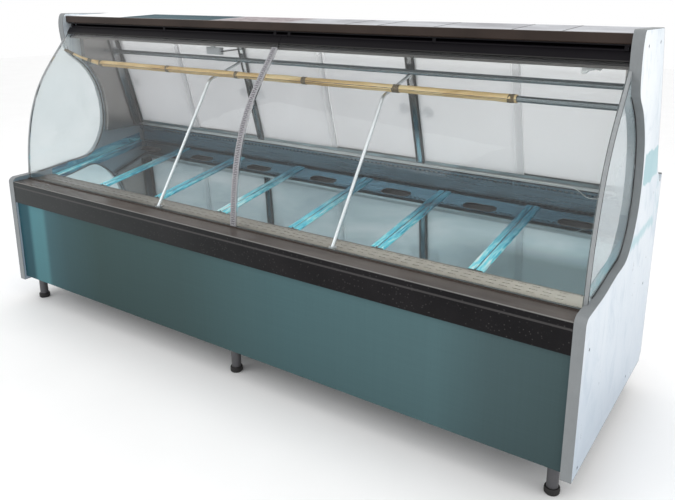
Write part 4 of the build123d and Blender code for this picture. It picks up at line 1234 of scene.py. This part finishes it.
# dark crosses: painted shade of the cross recess
b = Build()
for s in (-1, 1):
    for y, z in SCREW_AT:
        x0, x1 = sorted((s * 1.2496, s * 1.24988))
        for dy, dz in ((0.0024, 0.00045), (0.00045, 0.0024)):
            b.box(x0, x1, Y(y) - dy, Y(y) + dy, Z(z) - dz, Z(z) + dz)
ob = b.make("panel_screw_recess_shade")
finish_piece(ob, "cabinet", "rubber")

# ---------------------------------------------------------------------------
# Kraft sleeves on the front rail: split tube with an overlapping lip, tape wraps
# ---------------------------------------------------------------------------
SLEEVES = [(-1110.0, -662.0), (-660.0, -272.0), (-270.0, 62.0), (64.0, 452.0), (454.0, 880.0)]
ry, rz = Y(412.0), Z(1030.0)
b = Build()
for q, (x0, x1) in enumerate(SLEEVES):
    rng = random.Random(40 + q)
    open_at = math.radians(rng.uniform(168, 196))
    n_a, n_x = 26, 40
    rings = []
    for a in range(n_x + 1):
        t = a / n_x
        x = (x0 + t * (x1 - x0)) / 1000.0
        wob = 0.0003 * math.sin(t * 17 + q) + 0.0002 * math.sin(t * 41 + 2 * q)
        ring = []
        pts_out, pts_in = [], []
        for k in range(n_a + 1):
            ang = open_at + 0.14 + (2 * math.pi - 0.16) * k / n_a
            rad = 0.0129 + wob + 0.0009 * (k / n_a) ** 3
            pts_out.append((x, ry + rad * math.cos(ang), rz + rad * math.sin(ang)))
            pts_in.append((x, ry + (rad - 0.0012) * math.cos(ang), rz + (rad - 0.0012) * math.sin(ang)))
        ring = pts_out + pts_in[::-1]
        rings.append(ring)
    b.loft(rings, True, True)
ob = b.make("kraft_sleeves")
smooth_by_angle(ob, 50)
finish_piece(ob, "cabinet", "kraft")
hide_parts("rail_sleeves")
# longitudinal fold crease on each sleeve
b = Build()
for q, (x0, x1) in enumerate(SLEEVES):
    pts = []
    for a in range(31):
        t = a / 30
        x = (x0 + 4 + t * (x1 - x0 - 8)) / 1000.0
        ang = math.radians(200 + 2.5 * math.sin(t * 9 + q))
        pts.append((x, ry + 0.01355 * math.cos(ang), rz + 0.01355 * math.sin(ang)))
    b.tube(pts, 0.0005, 6)
ob = b.make("kraft_sleeve_creases", True)
finish_piece(ob, "cabinet", "tape")
# brown tape wraps over the joints
b = Build()
for q, xc in enumerate((-1098, -661, -271, 63, 453, 862)):
    rng = random.Random(70 + q)
    rings = []
    w = rng.uniform(16, 30)
    for a in range(9):
        t = a / 8 - 0.5
        x = (xc + t * w) / 1000.0
        rr = 0.01405 + 0.0004 * math.cos(t * 9 + q)
        if a in (0, 8):
            rr = 0.0137
        ring = []
        for k in range(28):
            ang = k * 2 * math.pi / 28
            jig = 0.00025 * math.sin(3 * ang + q + a * 0.8)
            slant = (0.004 * math.cos(ang + q)) * (0 if a in (0, 8) else 1)
            ring.append((x + slant, ry + (rr + jig) * math.cos(ang), rz + (rr + jig) * math.sin(ang)))
        rings.append(ring)
    b.loft(rings, True, True)
ob = b.make("sleeve_tape_wraps")
smooth_by_angle(ob, 50)
finish_piece(ob, "cabinet", "tape")

# rear counter front edge: pale trim, with a wire drooping at its right end
b = Build()
b.prism([(Y(681.6), Z(705.0)), (Y(683.9), Z(705.0)), (Y(683.9), Z(713.6)), (Y(686.5), Z(714.1)),
         (Y(686.5), Z(715.2)), (Y(682.6), Z(715.2)), (Y(681.6), Z(714.0))], -1.190, 1.190)
counter_trim = b
# dark strip painted as the shadow gap under the counter trim
b = Build()
b.prism([(Y(681.3), Z(700.8)), (Y(681.95), Z(700.8)), (Y(681.95), Z(704.6)), (Y(681.3), Z(704.6))], -1.189, 1.189)
ob = b.make("duct_top_painted_shadow_strip")
finish_piece(ob, "cabinet", "rubber")
# dark teal dashes painted as shade where the tray ends meet the duct foot
b = Build()
x = -1.184
while x < 1.180:
    b.box(x, x + 0.0125, Y(681.3), Y(681.9), Z(625.5), Z(631.0))
    x += 0.0200
ob = b.make("duct_foot_painted_shade_dashes")
finish_piece(ob, "cabinet", "painted_foot_shade")
b = Build()
wire = [(0.47, 0.7128), (0.62, 0.7126), (0.80, 0.7129), (0.93, 0.7126), (0.985, 0.7112), (1.014, 0.7020),
        (1.036, 0.6870), (1.055, 0.6820), (1.080, 0.6845), (1.112, 0.6960), (1.140, 0.7080)]
wire = catmull(wire, 7)
b.tube([(x, Y(680.4), z) for x, z in wire], 0.0012, 8)
ob = b.make("counter_edge_wire", True)
finish_piece(ob, "cabinet", "white_pvc")
b = counter_trim
ob = b.make("counter_front_trim")
bevelled(ob, 0.0004, 2)
finish_piece(ob, "cabinet", "frame_alu")

# ---------------------------------------------------------------------------
# Rear posts: rubber brush strips on both sides of the front face
# ---------------------------------------------------------------------------
b = Build()
b2 = Build()
for x in (-1202.0, -403.0, 403.0, 1202.0):
    for dx in (-13.2, 13.2):
        ring = [lean(6, -12.6), lean(446, -12.6), lean(446, -14.6), lean(6, -14.6)]
        xa, xb = (x + dx - 3.6) / 1000.0, (x + dx + 3.6) / 1000.0
        if abs(x) > 1000:
            continue
        b.prism([(Y(p[0]), Z(p[1])) for p in ring], xa, xb)
        for k in range(46):
            s0 = 9 + k * 9.5
            r2 = [lean(s0, -14.6), lean(s0 + 4, -14.6), lean(s0 + 4, -15.2), lean(s0, -15.2)]
            b2.prism([(Y(p[0]), Z(p[1])) for p in r2], xa + 0.0012, xb - 0.0012)
ob = b.make("post_brush_strips")
bevelled(ob, 0.0004, 1)
finish_piece(ob, "cabinet", "rubber")
ob = b2.make("post_brush_ribs")
finish_piece(ob, "cabinet", "alu_dark")

# ---------------------------------------------------------------------------
# Rear doors: edge channels and finger pulls
# ---------------------------------------------------------------------------
BAYS = [(-1184.5, -420.5), (-385.5, 385.5), (420.5, 1184.5)]
door = 0
for x0, x1 in BAYS:
    for xs, t0, inner in ((x0 + 1.0, -8.5, 1), (x1 - 1.0 - 395.0, 3.5, -1)):
        door += 1
        b = Build()
        # slim channel on the outer upright edge; the overlapping edge stays bare glass
        for xe, d in (((xs, 1),) if inner > 0 else ((xs + 395.0, -1),)):
            ring = [lean(15.5, t0 - 0.5), lean(441, t0 - 0.5), lean(441, t0 + 5.5), lean(15.5, t0 + 5.5)]
            xa, xb = sorted((xe, xe + d * 2.6))
            xa = max(xa, x0 + 0.3)
            xb = min(xb, x1 - 0.3)
            b.prism([(Y(p[0]), Z(p[1])) for p in ring], xa / 1000.0, xb / 1000.0)
        ob = b.make("rear_door_%d_edges" % door)
        bevelled(ob, 0.0006, 2)
        finish_piece(ob, "rear_door_%d" % door, "clear_part")
        # round finger pull let into the operator's face
        xp = xs + (395.0 - 36.0 if inner < 0 else 36.0)
        cy, cz = lean(215, t0 + 5.0)
        nrm = (0, math.sin(LEAN), -math.cos(LEAN))
        b = Build()
        prof = [(0.021, 0.0), (0.0215, 0.0006), (0.0205, 0.0012), (0.0185, 0.0012),
                (0.0172, 0.0004), (0.0005, 0.0003)]
        b.disc((xp / 1000.0, Y(cy), Z(cz)), nrm, prof, 36)
        ob = b.make("rear_door_%d_pull" % door)
        smooth_by_angle(ob, 40)
        finish_piece(ob, "rear_door_%d" % door, "clear_part")

# ---------------------------------------------------------------------------
# Under the canopy: lamp batten, tube caps, connector block, wires, stay
# ---------------------------------------------------------------------------
b = Build()
for x0, x1 in ((-1.150, -0.020), (0.020, 1.150)):
    b.prism([(Y(412), Z(1192.8)), (Y(416), Z(1184)), (Y(444), Z(1184)), (Y(448), Z(1192.8))], x0, x1)
ob = b.make("lamp_batten")
bevelled(ob, 0.0012, 2)
finish_piece(ob, "cabinet", "white_pvc")
b = Build()
for x, d in ((-1.1650, 1), (-0.0120, -1), (0.0120, 1), (1.1650, -1)):
    c = (x + d * 0.0002, Y(430), Z(1168))
    b.disc(c, (d, 0, 0), [(0.0132, 0.0), (0.0134, 0.001), (0.0134, 0.013), (0.0131, 0.0148),
                          (0.0128, 0.0148), (0.0005, 0.0)], 28)
ob = b.make("lamp_end_caps")
smooth_by_angle(ob, 35)
finish_piece(ob, "cabinet", "cap_alu")

# soffit joints and countersunk screws
b = Build()
for x in (-0.9, -0.45, 0.15, 0.6, 1.05):
    b.box(x - 0.0011, x + 0.0011, Y(390), Y(411), Z(1192.4), Z(1193.2))
    b.box(x - 0.0011, x + 0.0011, Y(449), Y(525), Z(1192.4), Z(1193.2))
ob = b.make("soffit_cover_strips")
finish_piece(ob, "cabinet", "rail")
b = Build()
for x in [v / 1000.0 for v in range(-1150, 1200, 230)]:
    for y in (400, 505):
        b.disc((x, Y(y), Z(1193.2)), (0, 0, -1), [(0.0042, 0.0), (0.0042, 0.0004), (0.0034, 0.0012),
                                                 (0.0012, 0.0016), (0.0004, 0.0012)], 18)
ob = b.make("soffit_screws")
smooth_by_angle(ob, 50)
finish_piece(ob, "cabinet", "screw")

# connector block under the lip with its twisted pair
b = Build()
b.box(-0.381, -0.306, Y(362.0), Y(378.0), Z(1108.0), Z(1135.0))
b.box(-0.376, -0.311, Y(360.4), Y(362.0), Z(1112.0), Z(1131.0))
for k in range(4):
    xk = -0.370 + k * 0.0175
    b.box(xk, xk + 0.006, Y(359.6), Y(360.4), Z(1114.5), Z(1128.5))
b.box(-0.352, -0.335, Y(358.0), Y(366.0), Z(1133.0), Z(1142.5))
ob = b.make("wire_connector_block")
bevelled(ob, 0.0014, 3)
finish_piece(ob, "cabinet", "block")
for w in (0, 1):
    b = Build()
    pts = []
    for k in range(150):
        t = k / 149
        x = -0.306 + t * 0.120
        a = t * 26 + w * math.pi
        amp = 0.0022 * (1 if t < 0.86 else (1 - t) / 0.14 * 0.9 + 0.1)
        yc = 366.0 + 2.5 * math.sin(t * 5.0)
        zc = 1121.0 + 16.0 * t
        pts.append((x, Y(yc) + amp * math.cos(a), Z(zc) + amp * math.sin(a)))
    b.tube(pts, 0.0015, 8)
    ob = b.make("lamp_wire_%d" % (w + 1), True)
    finish_piece(ob, "cabinet", "wire_dark")

# turning disc of the stay at each end of the canopy
for s, tag in ((-1, "left"), (1, "right")):
    b = Build()
    x = s * 1.1925
    b.disc((x, Y(363.0), Z(1178.0)), (-s, 0, 0), [(0.0118, 0.0), (0.012, 0.001), (0.012, 0.003),
                                                (0.010, 0.0042), (0.006, 0.0042), (0.0055, 0.0062),
                                                (0.002, 0.0068), (0.0004, 0.0068)], 30)
    ob = b.make("stay_disc_" + tag)
    smooth_by_angle(ob, 35)
    finish_piece(ob, "cabinet", "chrome")

# torn scrap of film hanging at the right end of the lip
b = Build()
rings = []
for a in range(15):
    t = a / 14
    ring_t, ring_b = [], []
    for c in range(9):
        u = c / 8
        x = 1.082 + 0.056 * t
        drop = 0.022 * u * (1.0 - 0.75 * t) * (0.85 + 0.15 * math.sin(t * 7 + 0.6))
        y = Y(357) + 0.004 * math.sin(u * 5 + t * 6) * u
        z = Z(1142.6) - drop + 0.002 * math.sin(t * 19)
        ring_t.append((x, y, z))
        ring_b.append((x, y + 0.0006, z))
    rings.append(ring_t + ring_b[::-1])
b.loft(rings, True, True)
ob = b.make("film_scrap_lip")
smooth_by_angle(ob, 60)
finish_piece(ob, "cabinet", "film_scrap")

# ---------------------------------------------------------------------------
# Front strip: dark dots painted as the shaded perforation holes, and raised bead lines
# ---------------------------------------------------------------------------
b = Build()
for y in (100.0, 184.2):
    b.tube([(-1.212, Y(y), Z(545.1)), (1.212, Y(y), Z(545.1))], 0.0011, 8)
ob = b.make("front_strip_beads", True)
finish_piece(ob, "cabinet", "alu_dark")
# dark discs: painted shade of the perforation holes
b = Build()
k = 0
x = -1.206
while x < 1.206:
    for y in (107.0, 178.5):
        b.disc((x, Y(y), Z(545.0)), (0, 0, 1), [(0.0019, 0.0), (0.0019, 0.00015), (0.0003, 0.00015)], 8)
    x += 0.0104
ob = b.make("front_strip_dots")
finish_piece(ob, "cabinet", "rubber")

# pads between neighbouring trays' front corners
b = Build()
for i in range(0, 8):
    xj = (i - 3.5) * TRAY_PITCH / 1000.0
    if abs(xj) > 1.2:
        continue
    b.box(xj - 0.0009, xj + 0.0009, Y(188.4), Y(192.6), Z(526), Z(551.0))
ob = b.make("tray_joint_stops")
bevelled(ob, 0.0003, 1)
finish_piece(ob, "cabinet", "rubber")

# ---------------------------------------------------------------------------
# Legs: lock nuts, foot ribs
# ---------------------------------------------------------------------------
b = Build()
b2 = Build()
for x in (-1.184, 0.0, 1.184):
    for y in (63.0, 737.0):
        yc = Y(y)
        # lock nut round the tube
        hexa = [(0.0255 * math.cos(k * math.pi / 3), 0.0255 * math.sin(k * math.pi / 3)) for k in range(6)]
        for z0, z1, r in ((0.0985, 0.1095, 0.0226),):
            ring0 = [(x + px / 0.0255 * r, yc + py / 0.0255 * r, z0) for px, py in hexa]
            ring1 = [(x + px / 0.0255 * r, yc + py / 0.0255 * r, z1) for px, py in hexa]
            b.loft([ring0, ring1], True, True)
        for k in range(20):
            a = k * math.pi / 10
            cx_, cy_ = x + 0.0217 * math.cos(a), yc + 0.0217 * math.sin(a)
            b2.tube([(cx_, cy_, 0.0035), (cx_, cy_, 0.0165)], 0.0008, 6)
ob = b.make("leg_top_nuts")
bevelled(ob, 0.0009, 2)
finish_piece(ob, "cabinet", "screw")
ob = b2.make("leg_foot_ribs", True)
finish_piece(ob, "cabinet", "rubber")

# ---------------------------------------------------------------------------
# Operator's side: louvre hoods, panel screws, controls, display
# ---------------------------------------------------------------------------
b = Build()
for k in range(3):
    xc = (k - 1) * 0.8124
    for j in range(7):
        z = 0.215 + (j - 3) * 0.018
        ring = [(Y(770.05), z + 0.0062), (Y(770.8), z + 0.0066), (Y(776.0), z + 0.0012),
                (Y(776.6), z - 0.0026), (Y(776.0), z - 0.0026), (Y(775.2), z + 0.0008), (Y(770.05), z + 0.0052)]
        b.prism(ring, xc - 0.209, xc + 0.209)
ob = b.make("rear_louvre_hoods")
bevelled(ob, 0.0004, 1)
finish_piece(ob, "cabinet", "rear_steel")
b = Build()
for k in range(3):
    xc = (k - 1) * 0.8124
    for dx in (-0.390, 0.0, 0.390):
        for z in (0.124, 0.687):
            b.disc((xc + dx, Y(770.0), z), (0, 1, 0), [(0.0052, 0.0), (0.0052, 0.0006), (0.0042, 0.0018),
                                                      (0.0018, 0.0024), (0.0006, 0.0018)], 20)
ob = b.make("rear_panel_screws")
smooth_by_angle(ob, 50)
finish_piece(ob, "cabinet", "screw")
# display window, scale ticks round the knob, blank type plate
b = Build()
b.box(0.986, 1.030, 0.3902, 0.3912, 0.606, 0.634)
ob = b.make("thermometer_window")
bevelled(ob, 0.0008, 2)
finish_piece(ob, "cabinet", "display")
b = Build()
for k in range(10):
    a = math.radians(225 - k * 30)
    for r in (0.0190, 0.0226):
        pass
    xa, za = 1.060 + 0.0185 * math.cos(a), 0.620 + 0.0185 * math.sin(a)
    xb, zb = 1.060 + 0.0225 * math.cos(a), 0.620 + 0.0225 * math.sin(a)
    b.tube([(xa, 0.3903, za), (xb, 0.3903, zb)], 0.0004, 6)
ob = b.make("thermostat_scale_ticks")
finish_piece(ob, "cabinet", "print_white")
b = Build()
b.box(0.935, 0.965, 0.3902, 0.3909, 0.600, 0.604)
b.box(0.935, 0.965, 0.3902, 0.3909, 0.636, 0.640)
b.box(0.933, 0.9405, 0.3902, 0.3909, 0.604, 0.636)
b.box(0.9595, 0.967, 0.3902, 0.3909, 0.604, 0.636)
ob = b.make("switch_surround")
bevelled(ob, 0.0003, 1)
finish_piece(ob, "cabinet", "control")
b = Build()
for x in (0.901, 1.119):
    for z in (0.585, 0.655):
        b.disc((x, 0.3902, z), (0, 1, 0), [(0.0035, 0.0), (0.0035, 0.0004), (0.0026, 0.0012), (0.0004, 0.0014)], 16)
ob = b.make("control_box_screws")
smooth_by_angle(ob, 50)
finish_piece(ob, "cabinet", "screw")
b = Build()
b.box(0.545, 0.645, 0.3701, 0.3706, 0.560, 0.620)
ob = b.make("blank_type_plate")
bevelled(ob, 0.0002, 1)
finish_piece(ob, "cabinet", "label_grey")

# machine bay: compressor lid weld, discharge pipe, fan guard
b = Build()
for k in range(48):
    a = k * 2 * math.pi / 48
    b.disc((0.620 + 0.0768 * math.cos(a), 0.160 + 0.0768 * math.sin(a), 0.2555), (0, 0, 1),
           [(0.0022, 0.0), (0.0026, 0.0012), (0.0012, 0.0024), (0.0003, 0.0026)], 8)
ob = b.make("compressor_weld")
finish_piece(ob, "cabinet", "machine")
b = Build()
pts = []
for k in range(30):
    t = k / 29
    pts.append((0.70 + 0.10 * t, 0.160 + 0.06 * math.sin(t * math.pi), 0.22 + 0.02 * math.sin(t * 6)))
b.tube([(0.694, 0.160, 0.190)] + [(0.70 + 0.010 * math.sin(k / 9 * math.pi), 0.160 + k / 9 * 0.130,
                                  0.190 + 0.012 * math.sin(k / 9 * math.pi)) for k in range(1, 10)] +
       [(0.7585, 0.318, 0.19)], 0.004, 10)
ob = b.make("discharge_pipe", True)
finish_piece(ob, "cabinet", "copper")
b = Build()
for r in (0.018, 0.032, 0.046, 0.060, 0.068):
    pts = [(0.880 + r * math.cos(k * math.pi / 24), 0.2655, 0.215 + r * math.sin(k * math.pi / 24)) for k in range(49)]
    b.tube(pts, 0.0011, 6, False)
for k in range(4):
    a = k * math.pi / 2 + 0.4
    b.tube([(0.880 + 0.018 * math.cos(a), 0.2652, 0.215 + 0.018 * math.sin(a)),
            (0.880 + 0.072 * math.cos(a), 0.2652, 0.215 + 0.072 * math.sin(a))], 0.0013, 6)
ob = b.make("condenser_fan_guard", True)
finish_piece(ob, "cabinet", "screw")

# ---------------------------------------------------------------------------
# Top: film bubble at the left end, section joints
# ---------------------------------------------------------------------------
def top_z(y):
    return 1239.0 + (y - 353.2) / (544.0 - 353.2) * 10.5


b = Build()
for x in (0.281, 0.412, 0.617, 0.872, 1.022):
    ring = [(Y(353.3), Z(1238.6)), (Y(543.5), Z(1249.0)), (Y(543.5), Z(1249.9)), (Y(353.3), Z(1239.6))]
    b.prism(ring, x - 0.0012, x + 0.0012)
ob = b.make("top_cover_joints")
finish_piece(ob, "cabinet", "clamp_black")
b = Build()
rings = []
for a in range(33):
    t = a / 32
    ring_t, ring_b = [], []
    for c in range(13):
        u = c / 12
        x = -1.215 + 0.335 * t
        y = 354.5 + 186.0 * u
        lift = 5.6 * math.sin(math.pi * min(1, u * 1.3)) * math.exp(-((t - 0.80) / 0.16) ** 2) if u < 0.77 else 0.0
        lift += 0.25 * (1 + math.sin(t * 21 + u * 8))
        if c in (0, 12) or a in (0, 32):
            lift = 0.05
        z = min(top_z(y) + 0.2 + lift, 1249.8)
        ring_t.append((x, Y(y), Z(z)))
        ring_b.append((x, Y(y), Z(top_z(y) - 0.3)))
    rings.append(ring_t + ring_b[::-1])
b.loft(rings, True, True)
ob = b.make("top_film_bubble")
smooth_by_angle(ob, 60)
finish_piece(ob, "cabinet", "film_scrap")

# loose end of the kraft sleeve, stuck to the left front corner
b = Build()
A, Bm, C = Vector((-1.210, -0.093, 1.091)), Vector((-1.158, -0.030, 1.053)), Vector((-1.1105, 0.012, 1.030))
pts = []
for k in range(25):
    t = k / 24
    p = A.lerp(Bm, t * 2) if t < 0.5 else Bm.lerp(C, t * 2 - 1)
    p = p + Vector((0, 0, -0.004 * math.sin(math.pi * t)))
    pts.append(p)
rings = []
for k, p in enumerate(pts):
    t = k / 24
    d = (pts[min(k + 1, 24)] - pts[max(k - 1, 0)]).normalized()
    e = d.cross(Vector((0, 0, 1))).normalized()
    g = e.cross(d)
    ra = 0.0105 + 0.0006 * math.sin(t * 23)
    rb = 0.0052 + 0.0076 * t ** 3
    rings.append([p + e * (ra * math.cos(j * math.pi / 10)) + g * (rb * math.sin(j * math.pi / 10))
                  for j in range(20)])
b.loft(rings, True, True)
ob = b.make("kraft_loose_end")
smooth_by_angle(ob, 50)
finish_piece(ob, "cabinet", "kraft")
b = Build()
for k0, k1 in ((0, 5), (14, 17)):
    rings = []
    for k in range(k0, k1 + 1):
        p = pts[k]
        t = k / 24
        d = (pts[min(k + 1, 24)] - pts[max(k - 1, 0)]).normalized()
        e = d.cross(Vector((0, 0, 1))).normalized()
        g = e.cross(d)
        ra = 0.0115 + 0.0004 * math.sin(k * 2.1)
        rb = 0.0062 + 0.0076 * t ** 3
        rings.append([p + e * (ra * math.cos(j * math.pi / 10)) + g * (rb * math.sin(j * math.pi / 10))
                      for j in range(20)])
    b.loft(rings, True, True)
ob = b.make("kraft_loose_end_tape")
smooth_by_angle(ob, 50)
finish_piece(ob, "cabinet", "tape")

# ---------------------------------------------------------------------------
# Floor
# ---------------------------------------------------------------------------
me = bpy.data.meshes.new("floor")
S = 14.0
me.from_pydata([(-S, -S, 0), (S, -S, 0), (S, S, 0), (-S, S, 0)], [], [(0, 1, 2, 3)])
floor = bpy.data.objects.new("floor", me)
scene.collection.objects.link(floor)
fl = Mat("floor_pale", 0.7, 0.0)
nf = fl.noise(3.0, fl.coord(), 3)
fl.colour(fl.ramp(nf, [(0.3, (0.95, 0.95, 0.95, 1)), (0.7, (0.975, 0.975, 0.975, 1))]))
floor.data.materials.append(fl.m)
